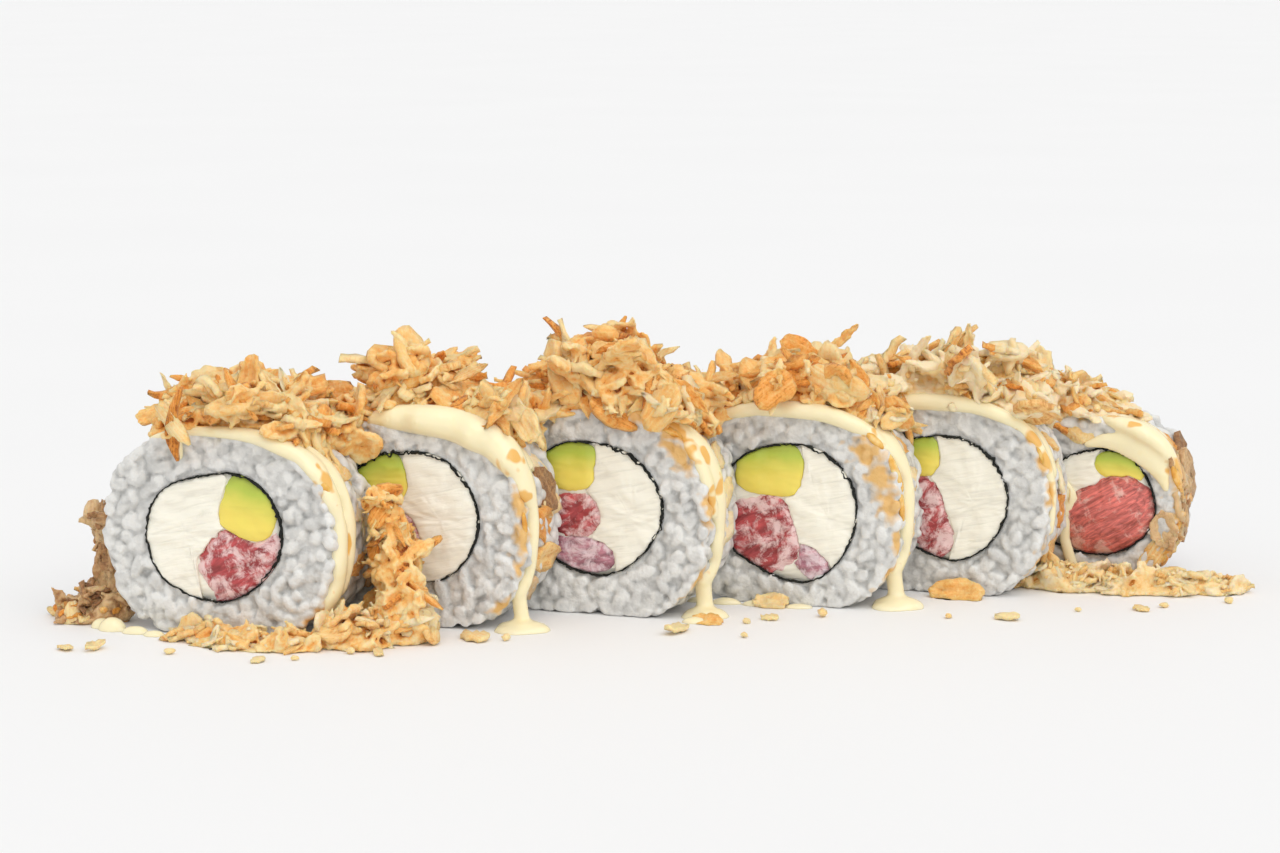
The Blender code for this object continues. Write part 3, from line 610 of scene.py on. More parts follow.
def melt(mesh, voxel, softened=8):
    """Melts overlapping closed shapes into one smooth skin."""
    obj = bpy.data.objects.new("melting", mesh)
    bpy.context.scene.collection.objects.link(obj)
    remesh = obj.modifiers.new("melt", "REMESH")
    remesh.mode = "VOXEL"
    remesh.voxel_size = voxel
    soften = obj.modifiers.new("soften", "SMOOTH")
    soften.factor = 0.5
    soften.iterations = softened
    bpy.context.view_layer.update()
    graph = bpy.context.evaluated_depsgraph_get()
    made = bpy.data.meshes.new_from_object(obj.evaluated_get(graph))
    bpy.data.objects.remove(obj)
    bpy.data.meshes.remove(mesh)
    return made


def spun_profile(profile, segments):
    """A closed profile of (distance, depth) points spun round the Y axis."""
    bm = bmesh.new()
    verts = [bm.verts.new((distance, depth, 0.0)) for distance, depth in profile]
    edges = [bm.edges.new(pair) for pair in zip(verts, verts[1:])]
    bmesh.ops.spin(
        bm, geom=verts + edges, cent=(0, 0, 0), axis=(0, -1, 0), dvec=(0, 0, 0),
        angle=2.0 * math.pi, steps=segments, use_merge=True, use_duplicate=False,
    )
    bmesh.ops.remove_doubles(bm, verts=bm.verts, dist=1e-5)
    return bm


# Rice

RICE_PROFILE = (
    (1.00, 0.00), (1.25, 0.00), (1.50, 0.00), (1.75, 0.00), (1.94, 0.01), (2.00, 0.06),
    (2.00, 0.20), (2.00, 0.35), (2.00, 0.50), (2.00, 0.65), (2.00, 0.80), (2.00, 0.94),
    (1.94, 0.99), (1.75, 1.00), (1.50, 1.00), (1.25, 1.00), (1.00, 1.00), (1.00, 0.00),
)
RICE_BED_INSET = 0.72 * MM
RICE_SEGMENTS = 90


def smear(at, index):
    """How much the knife has smeared the rice there, from 0 (loose grains) to 1 (smooth)."""
    patch = wave((at[0], at[1] * 0.3, at[2]), 8.0 * MM, 3.0 * index)
    return min(1.0, max(0.0, 0.62 + 1.4 * patch + (at[2] - 22.0 * MM) / (50.0 * MM)))


def rice_bed(index, cut):
    """The pressed mass of rice under the grains that show."""
    outline = outer_outline(cut)
    centre = (cut.ring_u, cut.ring_z)
    bm = spun_profile(RICE_PROFILE, RICE_SEGMENTS)
    reaches = {}
    for vert in bm.verts:
        angle = math.atan2(vert.co.z, vert.co.x)
        share = math.hypot(vert.co.x, vert.co.z) - 1.0
        key = round(angle, 4)
        if key not in reaches:
            inner = ring_reach(cut, angle) - 0.5 * MM
            reaches[key] = (inner, reach(outline, centre, angle) - RICE_BED_INSET)
        inner, outer = reaches[key]
        distance = inner + share * (outer - inner)
        depth = RICE_BED_INSET + vert.co.y * (THICKNESS - 2.0 * RICE_BED_INSET)
        at = Vector((centre[0] + distance * math.cos(angle), depth, centre[1] + distance * math.sin(angle)))
        lift = 0.4 * MM * wave(at, 2.6 * MM, index)
        outward = Vector((math.cos(angle), 0.0, math.sin(angle)))
        if 0.02 < vert.co.y < 0.98:
            at += outward * lift
        else:
            at.y += lift + 0.5 * MM * wave(at, 8.0 * MM, index + 4.0)
        at.z = max(at.z, 0.15 * MM)
        vert.co = at
    bmesh.ops.triangulate(bm, faces=bm.faces)
    bm.verts.index_update()
    corners = np.array([vert.co[:] for vert in bm.verts])
    faces = np.array([[vert.index for vert in face.verts] for face in bm.faces])
    bm.free()
    return corners, faces


def grain_shapes(rng, count=6):
    """A few different cooked grains: plump, a little bent, blunter at one end."""
    shapes = []
    for _ in range(count):
        bm = bmesh.new()
        bmesh.ops.create_uvsphere(bm, u_segments=8, v_segments=7, radius=0.5)
        bmesh.ops.rotate(bm, verts=bm.verts, cent=(0, 0, 0), matrix=Matrix.Rotation(math.pi / 2.0, 3, "Y"))
        bend = rng.uniform(-0.22, 0.3)
        blunt = rng.uniform(0.0, 0.3)
        for vert in bm.verts:
            along = vert.co.x * 2.0
            vert.co.y *= 1.0 - blunt * along * 0.5
            vert.co.y += bend * (along ** 2 - 0.4) * 0.5
        shapes.append(triangles_of(bm))
    return shapes


def even_steps(points, pitch, rng):
    """Places at about even steps along a closed outline, each with its outward normal."""
    ring = np.asarray(points)
    ends = np.roll(ring, -1, axis=0)
    lengths = np.linalg.norm(ends - ring, axis=1)
    total = lengths.sum()
    count = max(3, int(total / pitch))
    marks = np.concatenate(([0.0], np.cumsum(lengths)))
    offset = rng.random()
    for number in range(count):
        target = ((number + offset + rng.uniform(-0.3, 0.3)) / count * total) % total
        side = min(int(np.searchsorted(marks, target, side="right")) - 1, len(ring) - 1)
        share = (target - marks[side]) / max(lengths[side], 1e-9)
        at = ring[side] + (ends[side] - ring[side]) * share
        tangent = (ends[side] - ring[side]) / max(lengths[side], 1e-9)
        yield at, Vector((tangent[1], 0.0, -tangent[0]))


def grain_on(shape, at, normal, rng, lean=0.35):
    """One grain laid on the rice at a place, as corners and faces."""
    s = sizes()
    length = s.grain_length * rng.uniform(0.8, 1.12)
    width = s.grain_width * rng.uniform(0.84, 1.1)
    corners, faces = shape
    corners = corners * np.array((length, width, width * rng.uniform(0.78, 0.95)))
    tip = Matrix.Rotation(rng.uniform(-lean, lean), 4, "Y")
    turn = facing(normal, rng.uniform(0.0, 2.0 * math.pi)) @ tip
    return moved(corners, Matrix.Translation(at) @ turn), faces


def flank_grains(cut, shapes, rng):
    """Grains round the outside of a slice."""
    outline = outer_outline(cut, 120)
    pitch = sizes().grain_pitch
    rows = int(THICKNESS / (pitch * 0.85))
    for row in range(rows):
        for (u, z), normal in even_steps(outline, pitch * 1.15, rng):
            depth = (row + 0.5 + rng.uniform(-0.35, 0.35)) / rows * THICKNESS
            sunk = rng.uniform(0.4, 1.4) * MM
            at = Vector((u, depth, z)) - normal * sunk
            corners, faces = grain_on(rng.choice(shapes), at, normal, rng)
            corners[:, 2] = np.maximum(corners[:, 2], GRAIN_LIFT)
            corners[:, 1] = np.clip(corners[:, 1], -0.35 * MM, THICKNESS + 0.35 * MM)
            yield corners, faces


def face_grains(index, cut, shapes, rng, front):
    """Grains on a cut face, sliced off where they stood out of it."""
    outline = outer_outline(cut, 120)
    centre = (cut.ring_u, cut.ring_z)
    pitch = sizes().grain_pitch
    normal = Vector((0.0, -1.0 if front else 1.0, 0.0))
    rows = 4
    for row in range(rows):
        share = (row + 0.5) / rows
        ring = []
        for angle in angles_of(72):
            inner = ring_reach(cut, angle) + 0.9 * MM
            outer = reach(outline, centre, angle) - 1.0 * MM
            distance = inner + (outer - inner) * share
            ring.append((centre[0] + distance * math.cos(angle), centre[1] + distance * math.sin(angle)))
        for (u, z), _ in even_steps(ring, pitch * 1.1, rng):
            spread = pitch * 0.3
            u += rng.uniform(-spread, spread)
            z = max(z + rng.uniform(-spread, spread), 0.8 * MM)
            smooth = smear((u, 0.0 if front else THICKNESS, z), index)
            sunk = rng.uniform(0.35, 1.15) * MM + 0.5 * MM * smooth
            depth = sunk if front else THICKNESS - sunk
            lean = 0.3 if rng.random() < 0.6 else 1.1
            corners, faces = grain_on(rng.choice(shapes), Vector((u, depth, z)), normal, rng, lean)
            proud = (rng.uniform(0.15, 1.0) * (1.0 - smooth) - 0.1) * MM
            low, high = -proud, THICKNESS + proud
            corners[:, 1] = np.clip(corners[:, 1], low if front else -1.0, 1.0 if front else high)
            corners[:, 2] = np.maximum(corners[:, 2], GRAIN_LIFT)
            yield corners, faces


# Where amber oil has soaked in: the slice, angle on the outline in degrees, depth from the front cut,
# half length along the outline and half width in millimetres
AMBER_SPOTS = (
    (1, 27, 1.2, 3.4, 1.4), (1, -2, 6.0, 2.6, 0.9), (1, -36, 2.4, 4.4, 2.4), (1, 60, 5.0, 2.6, 1.5),
    (1, 100, 1.0, 7.0, 0.6), (2, 62, 5.0, 5.0, 1.7), (2, 33, 0.2, 2.4, 1.9), (2, 12, 0.2, 4.0, 2.0),
    (2, -4, 0.4, 5.0, 2.2), (2, -19, 0.2, 2.3, 1.4), (2, -38, 0.8, 3.6, 2.0), (2, 92, 4.2, 5.0, 1.1),
    (3, 64, 0.4, 3.4, 1.4), (3, 47, 0.6, 4.6, 2.0), (3, 29, 2.6, 2.6, 1.5), (3, 14, 5.4, 2.0, 1.3),
    (3, 4, 1.6, 5.0, 2.0), (3, -34, 3.0, 5.0, 2.6), (4, 36, -2.6, 4.0, 3.2), (4, 21, -2.8, 4.6, 3.2),
    (4, 4, -1.2, 4.8, 2.6), (4, -34, 3.0, 4.6, 2.6), (5, 56, 2.6, 3.6, 1.5), (5, 34, 0.6, 2.4, 1.2),
    (3, 34, -1.6, 5.0, 2.2), (4, -14, 1.0, 3.6, 2.0), (6, 22, 7.0, 9.0, 5.0), (6, -8, 8.0, 9.0, 6.0),
    (6, -32, 8.0, 8.0, 6.0),
    (5, 22, 0.6, 3.0, 1.4), (5, 4, 1.4, 3.4, 1.5), (5, -30, 2.2, 4.8, 2.1), (6, 70, 1.0, 2.6, 1.1),
    (6, 56, -1.4, 1.8, 0.8), (6, 17, 1.0, 4.6, 3.0), (6, -6, 2.0, 4.6, 3.0), (6, -28, 2.0, 4.6, 3.0),
)


def amber_share(index, cut, places):
    """How far the amber oil has soaked into places in the slice's own frame, from 0 to 1."""
    outline = outer_outline(cut)
    middle = (0.0, cut.height / 2.0)
    turns = np.linspace(-math.pi, math.pi, 181)
    distances = np.array([reach(outline, middle, turn + 1e-6) for turn in turns])
    u, z = places[:, 0], places[:, 2] - middle[1]
    angles = np.arctan2(z, u)
    inward = np.maximum(np.interp(angles, turns, distances) - np.hypot(u, z) - 0.6 * MM, 0.0)
    along = places[:, 1] - inward
    uneven = np.array([1.0 + 0.7 * wave(place, 1.8 * MM, 31.0) for place in places])
    soaked = np.zeros(len(places))
    for degrees, depth, half_length, half_width in of_slice(AMBER_SPOTS, index):
        off = (np.degrees(angles) - degrees + 180.0) % 360.0 - 180.0
        arc = np.radians(off) * np.hypot(u, z) / (half_length * MM)
        spot = 1.3 - uneven * np.hypot(arc, (along - depth * MM) / (half_width * MM))
        soaked = np.maximum(soaked, np.clip(spot, 0.0, 1.0))
    return soaked


def hollowness(mesh, places, rounds=12):
    """How far each vertex lies below the smoothed surface round it: positive between two grains."""
    count = len(places)
    first, second = rows_of(mesh.edges, "vertices", 2, int).T
    met = np.bincount(first, minlength=count) + np.bincount(second, minlength=count)
    smooth = places.copy()
    for _ in range(rounds):
        summed = [
            np.bincount(first, one[second], count) + np.bincount(second, one[first], count)
            for one in smooth.T
        ]
        smooth = 0.5 * smooth + 0.5 * np.stack(summed, axis=1) / np.maximum(met, 1)[:, None]
    return ((smooth - places) * rows_of(mesh.vertex_normals, "vector")).sum(axis=1)


def rice_skin(index, cut, shapes, rng):
    """The slice's rice as one skin: grains stuck together by their own starch."""
    parts = [rice_bed(index, cut)]
    parts += flank_grains(cut, shapes, rng)
    parts += face_grains(index, cut, shapes, rng, True)
    parts += face_grains(index, cut, shapes, rng, False)
    loose = joined_copies(f"rice_loose_{index}", [(corners, faces, ()) for corners, faces in parts])
    skin = melt(loose, sizes().rice_voxel, 1)
    skin.name = f"rice_{index}_grains"
    places = rows_of(skin.vertices, "co")
    middles = KDTree(len(parts) - 1)
    for number, (corners, _) in enumerate(parts[1:]):
        middles.insert(corners.mean(axis=0), number)
    middles.balance()
    tones = np.array([rng.uniform(0.08, 0.40) for _ in parts])
    tone = np.array([tones[middles.find(place)[1]] for place in places])
    # Painted shade: the tone is lowered in the hollows between grains; painted highlight: it is raised a
    # little on their crests.
    tone -= 0.26 * np.clip(hollowness(skin, places) / (0.16 * MM), -0.6, 1.0)
    point_values(skin, "tone", tone)
    point_values(skin, "stain", amber_share(index, cut, places))
    skin.transform(slice_matrix(index))
    skin.shade_smooth()
    return skin


class URAMAKI_OT_rice(bpy.types.Operator):
    """Lays the rice of every slice, grain by grain"""

    bl_idname = "uramaki.rice"
    bl_label = "Rice"

    def execute(self, context):
        material = rice_material()
        rng = random.Random(21)
        shapes = grain_shapes(rng)
        for index, cut in enumerate(SLICES, start=1):
            skin = rice_skin(index, cut, shapes, rng)
            place_piece(skin.name, skin, material, (f"rice_{index}",), "rice")
        return {"FINISHED"}


# Nori

NORI_DEPTHS = (0.0, 0.015, 0.04, 0.10, 0.30, 0.50, 0.70, 0.90, 0.96, 0.985, 1.0)
NORI_SEGMENTS = 200
# Where the sheet has crumpled: the slice's number, then angle, spread in degrees and extra depth of
# the folds
NORI_FOLDS = {
    1: ((8, 16, 1.2), (-38, 14, 0.9)), 2: ((118, 34, 1.9), (40, 20, 1.0)),
    3: ((-20, 18, 1.0), (60, 24, 0.9)), 4: ((45, 40, 0.9),), 5: ((50, 36, 1.1), (-30, 16, 0.7)),
    6: ((70, 40, 0.8),),
}


def fold_strength(index, angle):
    """Extra depth of the folds at an angle round the ring."""
    extra = 0.0
    for middle, spread, strength in NORI_FOLDS[index]:
        off = (math.degrees(angle) - middle + 180.0) % 360.0 - 180.0
        extra += strength * math.exp(-((off / spread) ** 2))
    return extra


def nori_sheet(index, cut):
    """The sheet round the fillings, crumpled, its cut edges torn into small teeth."""
    thick = sizes().nori_thickness
    wall = [(2.0, depth) for depth in NORI_DEPTHS]
    profile = wall + [(1.0, depth) for depth in reversed(NORI_DEPTHS)] + [wall[0]]
    bm = spun_profile(profile, NORI_SEGMENTS)
    rng = random.Random(100 + index)
    teeth = [rng.uniform(-0.2, 0.3) for _ in range(NORI_SEGMENTS + 1)]
    jags = [rng.uniform(-0.1, 0.1) for _ in range(NORI_SEGMENTS + 1)]
    for vert in bm.verts:
        angle = math.atan2(vert.co.z, vert.co.x)
        share = math.hypot(vert.co.x, vert.co.z) - 1.0
        slot = round(angle / (2.0 * math.pi) * NORI_SEGMENTS) % NORI_SEGMENTS
        depth = vert.co.y
        around = Vector((math.cos(angle), 0.0, math.sin(angle)))
        crumple = wave(around * 6.0 + Vector((0.0, depth * 2.0, 0.0)), 1.0, index)
        fine = wave(around * 19.0 + Vector((0.0, depth * 4.0, 0.0)), 1.0, 2.0 * index)
        swell = max(0.35, 0.9 + 1.5 * wave(around * 7.0, 1.0, 9.0 + index))
        folds = fold_strength(index, angle)
        middle = ring_reach(cut, angle) - CLEARANCE - SEAWEED_THICKNESS / 2.0
        middle += ((0.30 + 0.15 * folds) * crumple + (0.18 + 0.55 * folds) * fine + jags[slot]) * MM
        distance = middle + (share - 0.5) * thick * swell * (1.0 + 0.5 * folds)
        edge = 0.0
        if depth < 0.05 or depth > 0.95:
            edge = (0.12 + teeth[slot]) * MM * (1.0 if depth < 0.01 or depth > 0.99 else 0.5)
            edge = -edge if depth < 0.5 else edge
        vert.co = (
            cut.ring_u + distance * math.cos(angle),
            depth * THICKNESS + edge,
            cut.ring_z + distance * math.sin(angle),
        )
    return bm


class URAMAKI_OT_nori(bpy.types.Operator):
    """Rolls the nori sheet of every slice"""

    bl_idname = "uramaki.nori"
    bl_label = "Nori"

    def execute(self, context):
        material = nori_material()
        for index, cut in enumerate(SLICES, start=1):
            mesh = mesh_from(f"nori_{index}", nori_sheet(index, cut), slice_matrix(index))
            place_piece(mesh.name, mesh, material, (f"seaweed_{index}",), "seaweed")
        return {"FINISHED"}


# Fillings

FILLING_SEGMENTS = 110
FILLING_RINGS = (
    0.0, 0.08, 0.16, 0.24, 0.32, 0.40, 0.48, 0.56, 0.64, 0.72, 0.79, 0.85, 0.90, 0.94, 0.975, 1.0,
)
FILLING_OVERLAP = 0.25 * MM
Relief = namedtuple("Relief", "height coarse fine round_edge ragged")
RELIEFS = {
    "avocado": Relief(0.30 * MM, 5.0 * MM, 1.6 * MM, 0.45 * MM, 0.035),
    "tuna": Relief(0.60 * MM, 4.5 * MM, 1.3 * MM, 0.7 * MM, 0.06),
    "pale_tuna": Relief(0.45 * MM, 3.5 * MM, 1.1 * MM, 0.7 * MM, 0.05),
    "cream_cheese": Relief(0.50 * MM, 5.0 * MM, 1.2 * MM, 0.25 * MM, 0.02),
}


def filling_outline(filling, container, neighbours, seed):
    """The filling's uneven edge as seen from its middle, stopped by the nori and its neighbours."""
    origin = (filling.u * MM, filling.z * MM)
    half_step = math.pi / FILLING_SEGMENTS
    points = []
    for angle in angles_of(FILLING_SEGMENTS):
        own = superellipse(
            angle, filling.half_width * MM, filling.half_height * MM, filling.power, filling.tilt
        )
        around = Vector((math.cos(angle), math.sin(angle), 0.0))
        own *= 1.0 + 0.09 * wave(around * 1.6, 1.0, seed)
        own *= 1.0 + RELIEFS[filling.kind].ragged * wave(around * 6.0, 1.0, seed + 5.0)
        limits = [reach(container, origin, angle), own]
        for other in neighbours:
            limits += [reach(other, origin, angle + side * half_step) for side in (-1, 0, 1)]
        distance = min(limit for limit in limits if limit is not None)
        points.append((origin[0] + distance * math.cos(angle), origin[1] + distance * math.sin(angle)))
    return points


def filling_plug(filling, outline, cut, seed, front_reach):
    """A strip of filling through the slice, with its cut ends dragged and uneven."""
    relief = RELIEFS[filling.kind]
    origin = Vector((filling.u * MM, 0.0, filling.z * MM))
    front = [(ring, 0.0) for ring in FILLING_RINGS]
    sides = [(1.0, 0.04), (1.0, 0.3), (1.0, 0.7), (1.0, 0.96)]
    back = [(ring, 1.0) for ring in reversed(FILLING_RINGS)]
    bm = spun_profile(front + sides + back, FILLING_SEGMENTS)
    rims, edges = [], []
    for vert in bm.verts:
        share = math.hypot(vert.co.x, vert.co.z)
        angle = math.atan2(vert.co.z, vert.co.x) if share > 1e-6 else 0.0
        slot = round(angle / (2.0 * math.pi) * FILLING_SEGMENTS) % FILLING_SEGMENTS
        u, z = outline[slot]
        at = origin + (Vector((u, 0.0, z)) - origin) * share
        lump = relief.height * (
            wave((at.x, 0.0, at.z * 1.8), relief.coarse, seed)
            + 0.45 * wave((at.x * 0.6, 5.0 * MM, at.z * 1.6), relief.fine, seed + 3.0)
        )
        rounding = relief.round_edge * share ** 9
        if vert.co.y < 0.02:
            dome = front_reach * (1.0 - share ** 2.2)
            at.y = 0.05 * MM - lump - dome + rounding
        elif vert.co.y > 0.98:
            at.y = THICKNESS - 0.05 * MM + lump - rounding
        else:
            at.y = vert.co.y * THICKNESS
        vert.co = at
        ring = Vector((at.x - cut.ring_u, 0.0, at.z - cut.ring_z))
        closeness = ring.length / ring_reach(cut, math.atan2(ring.z, ring.x))
        upward = (at.z - origin.z) / (filling.half_height * MM)
        rims.append(min(1.0, max(0.0, 0.6 * closeness + 0.6 * upward - 0.15)))
        edges.append(share ** 3)
    return bm, rims, edges


def filling_bed(cut):
    """Cheese pressed into the corners between the fillings, just behind the cut faces."""
    bm = spun_profile(
        [(ring, 0.0) for ring in (0.0, 0.4, 0.8, 1.0)] + [(ring, 1.0) for ring in (1.0, 0.8, 0.4, 0.0)], 72
    )
    for vert in bm.verts:
        share = math.hypot(vert.co.x, vert.co.z)
        angle = math.atan2(vert.co.z, vert.co.x) if share > 1e-6 else 0.0
        distance = share * (ring_reach(cut, angle) - 0.6 * MM)
        at = Vector((cut.ring_u + distance * math.cos(angle), 0.0, cut.ring_z + distance * math.sin(angle)))
        lump = 0.25 * MM * wave(at, 2.0 * MM, 4.0)
        at.y = 0.8 * MM + lump if vert.co.y < 0.5 else THICKNESS - 0.8 * MM + lump
        vert.co = at
    return bm


class URAMAKI_OT_fillings(bpy.types.Operator):
    """Fills every slice with its cheese, avocado and fish"""

    bl_idname = "uramaki.fillings"
    bl_label = "Fillings"

    def execute(self, context):
        fish = fish_material("raw_tuna", tuple(colours().tuna), "#F4D6D3", 0.475, 28.0)
        end_fish = fish_material("raw_tuna_end", tuple(colours().end_tuna), "#EEC0B4", 0.54, 32.0, 0.7)
        pale = fish_material("raw_pale_fish", tuple(colours().pale_fish), "#EAD4D8", 0.475, 10.0)
        finishes = {
            "avocado": avocado_material(), "cream_cheese": cheese_material(), "pale_tuna": pale,
        }
        for index, (cut, fillings) in enumerate(zip(SLICES, FILLINGS), start=1):
            matrix = slice_matrix(index)
            container = ring_outline(cut, CLEARANCE + SEAWEED_THICKNESS - FILLING_OVERLAP, 72)
            placed = []
            for number, filling in enumerate(fillings):
                seed = 10.0 * index + number
                outline = filling_outline(filling, container, placed, seed)
                placed.append(outline)
                at_end = filling.kind == "tuna" and index == len(SLICES)
                plug, rims, edges = filling_plug(
                    filling, outline, cut, seed, END_TUNA_REACH if at_end else 0.0
                )
                node = f"{filling.kind}_{index}"
                mesh = mesh_from(f"{node}_strip", plug, matrix)
                point_values(mesh, "rim", rims)
                point_values(mesh, "edge", edges)
                material = finishes.get(filling.kind, end_fish if at_end else fish)
                place_piece(mesh.name, mesh, material, (node,), filling.kind)
            bed = mesh_from(f"cream_cheese_bed_{index}", filling_bed(cut), matrix)
            place_piece(bed.name, bed, finishes["cream_cheese"], (), "cream_cheese")
        return {"FINISHED"}


# Sauce

# Runs of sauce on each slice, as points (angle on the outline in degrees, depth from the front cut,
# half width and height in millimetres)
SAUCE_RUNS = {
    1: (
        ((126, 0.8, 0.9, 0.8), (108, 0.4, 1.5, 1.2), (92, 0.3, 1.7, 1.3), (74, 0.4, 2.1, 1.6),
         (58, 0.6, 2.7, 1.9), (46, 1.0, 3.2, 2.0), (34, 1.8, 2.8, 1.9), (22, 2.6, 2.4, 1.7),
         (8, 3.6, 2.2, 1.7), (-8, 4.0, 2.3, 1.8), (-24, 4.0, 2.6, 2.0), (-34, 4.2, 2.4, 2.0)),
        ((50, 4.2, 3.0, 1.6), (36, 5.8, 2.8, 1.7), (24, 7.2, 2.4, 1.7), (8, 8.2, 2.4, 1.8),
         (-6, 8.2, 2.6, 1.9), (-16, 7.2, 2.4, 1.9), (-26, 5.8, 2.4, 1.9)),
        ((112, 3.6, 1.8, 0.9), (90, 3.6, 2.6, 1.0), (70, 4.0, 3.0, 1.1), (54, 5.0, 3.0, 1.1)),
        ((118, 17.4, 2.2, 1.3), (136, 18.4, 2.8, 1.7), (152, 18.8, 2.2, 1.5), (166, 18.2, 1.4, 1.3)),
    ),
    2: (
        ((112, 2.2, 2.4, 1.8), (98, 1.4, 3.6, 3.0), (82, 1.2, 4.0, 3.5), (66, 1.2, 4.2, 3.8),
         (52, 1.3, 4.4, 4.0), (40, 1.7, 4.2, 3.7), (28, 2.6, 3.5, 2.8), (16, 3.8, 2.8, 2.1),
         (6, 4.6, 1.8, 1.6), (-8, 5.2, 1.5, 1.5), (-24, 5.2, 1.6, 1.6), (-34, 5.0, 2.2, 2.0)),
        ((74, 8.0, 3.4, 1.2), (56, 8.6, 3.4, 1.2), (40, 9.4, 2.6, 1.1), (26, 9.8, 1.6, 1.0)),
        ((56, 0.3, 1.8, 1.8), (42, 0.2, 1.9, 2.0), (30, 0.5, 1.4, 1.6), (20, 1.2, 1.0, 1.2)),
        ((112, 18.6, 2.6, 1.5), (128, 18.8, 3.0, 1.8), (144, 17.8, 2.6, 1.6), (158, 16.8, 1.6, 1.3)),
    ),
    3: (
        ((72, 1.6, 1.6, 1.1), (58, 2.4, 2.8, 1.8), (44, 3.6, 3.6, 2.3), (30, 5.0, 4.0, 2.5),
         (18, 6.2, 3.6, 2.3), (6, 7.2, 2.8, 2.0), (-8, 7.8, 2.2, 1.8), (-22, 7.8, 2.4, 2.0),
         (-34, 7.4, 2.6, 2.2)),
        ((36, 0.8, 1.6, 1.4), (24, 1.6, 2.0, 1.5), (10, 3.0, 1.8, 1.3), (0, 4.4, 1.2, 1.1)),
        ((116, 17.8, 2.8, 1.6), (134, 18.6, 3.2, 1.9), (154, 18.8, 2.4, 1.7), (172, 18.4, 1.6, 1.4)),
    ),
    4: (
        ((134, 0.8, 1.2, 0.9), (118, 0.5, 2.0, 1.6), (98, 0.3, 2.4, 2.0), (80, 0.3, 2.5, 2.1),
         (62, 0.4, 2.5, 2.1), (48, 0.8, 2.3, 1.9), (38, 1.2, 1.7, 1.5), (28, 1.8, 0.9, 1.0)),
        ((70, 4.0, 2.4, 1.6), (54, 4.4, 3.8, 2.3), (42, 4.8, 4.2, 2.5), (30, 5.4, 3.4, 2.4),
         (16, 6.4, 2.6, 2.1), (0, 7.2, 2.3, 1.9), (-18, 7.4, 2.3, 1.9), (-32, 7.2, 2.8, 2.2)),
        ((114, 18.4, 2.4, 1.4), (130, 18.8, 2.8, 1.7), (146, 18.2, 2.0, 1.5), (160, 17.4, 1.2, 1.2)),
    ),
    5: (
        ((128, 0.6, 1.8, 1.3), (108, 0.4, 2.6, 2.0), (92, 0.4, 2.7, 2.1), (76, 0.5, 2.6, 2.0),
         (60, 0.6, 2.4, 1.8), (46, 0.8, 2.1, 1.6), (30, 1.6, 1.6, 1.3), (14, 3.0, 1.7, 1.2),
         (-2, 4.0, 1.5, 1.1), (-16, 4.6, 1.1, 1.0)),
        ((66, 4.0, 2.4, 1.5), (48, 4.6, 2.8, 1.6), (30, 5.4, 2.4, 1.4), (12, 6.0, 1.9, 1.2)),
        ((116, 18.0, 2.8, 1.6), (132, 18.6, 3.0, 1.8), (150, 18.6, 2.2, 1.6), (168, 17.8, 1.4, 1.3)),
    ),
    6: (
        ((74, 2.4, 1.6, 1.2), (64, 1.0, 3.0, 1.8), (50, 0.5, 4.0, 2.4),
         (38, 0.7, 3.6, 2.2), (26, 1.6, 2.2, 1.6), (14, 3.0, 1.2, 1.1)),
        ((66, 4.6, 3.0, 1.6), (48, 5.4, 3.2, 1.7), (32, 6.4, 2.4, 1.4)),
        ((104, 18.2, 2.4, 1.5), (122, 18.8, 2.8, 1.7), (140, 18.2, 2.0, 1.4), (154, 17.2, 1.2, 1.1)),
    ),
}
# Strands that run down over a cut face: the slice, then points across, height and half width in
# millimetres
SAUCE_STRANDS = (
    (1, ((-8.6, 43.2, 1.0), (-8.2, 41.0, 1.0), (-8.0, 38.9, 0.8))),
    (6, ((1.8, 32.4, 0.9), (5.4, 33.4, 1.9), (9.6, 33.0, 2.8), (13.4, 31.6, 3.3), (16.8, 29.0, 2.9),
         (18.8, 25.8, 1.8), (19.6, 23.4, 1.0))),
    (6, ((-6.4, 26.0, 1.5), (-4.6, 22.4, 2.4), (-2.4, 19.8, 2.2), (-3.4, 15.4, 1.6), (-3.2, 9.7, 1.4),
         (-1.6, 4.6, 1.5), (-0.6, 1.4, 1.8))),
)
# Drops to the ground: the slice, the run that falls, how far its foot lies out, puddle radii and
# height in millimetres
SAUCE_FEET = (
    (1, 0, 0.6, 5.2, 3.6, 2.0), (2, 0, 1.2, 6.4, 4.4, 2.2), (3, 0, 0.8, 5.4, 4.0, 2.2),
    (4, 1, 1.2, 6.2, 4.2, 2.6),
)
# Puddles and smears on the ground: the slice, across, depth, radii and height in millimetres
SAUCE_PUDDLES = (
    (1, -24.6, -1.2, 3.2, 2.4, 3.0), (1, -28.0, 0.4, 2.6, 2.0, 2.2), (1, -18.5, -2.4, 3.2, 1.8, 1.7),
    (1, -13.5, -3.4, 2.6, 1.6, 1.3), (1, 24.5, -1.4, 4.4, 2.6, 1.8), (1, 30.5, -0.4, 3.4, 3.0, 1.6),
    (3, 24.0, -0.6, 3.2, 2.0, 1.4), (4, -19.0, -2.6, 3.0, 1.8, 1.2), (4, -12.6, -2.8, 3.6, 1.7, 1.5),
    (4, -6.0, -2.4, 3.0, 1.6, 1.3), (4, 4.0, -2.0, 3.6, 1.6, 1.0),
)
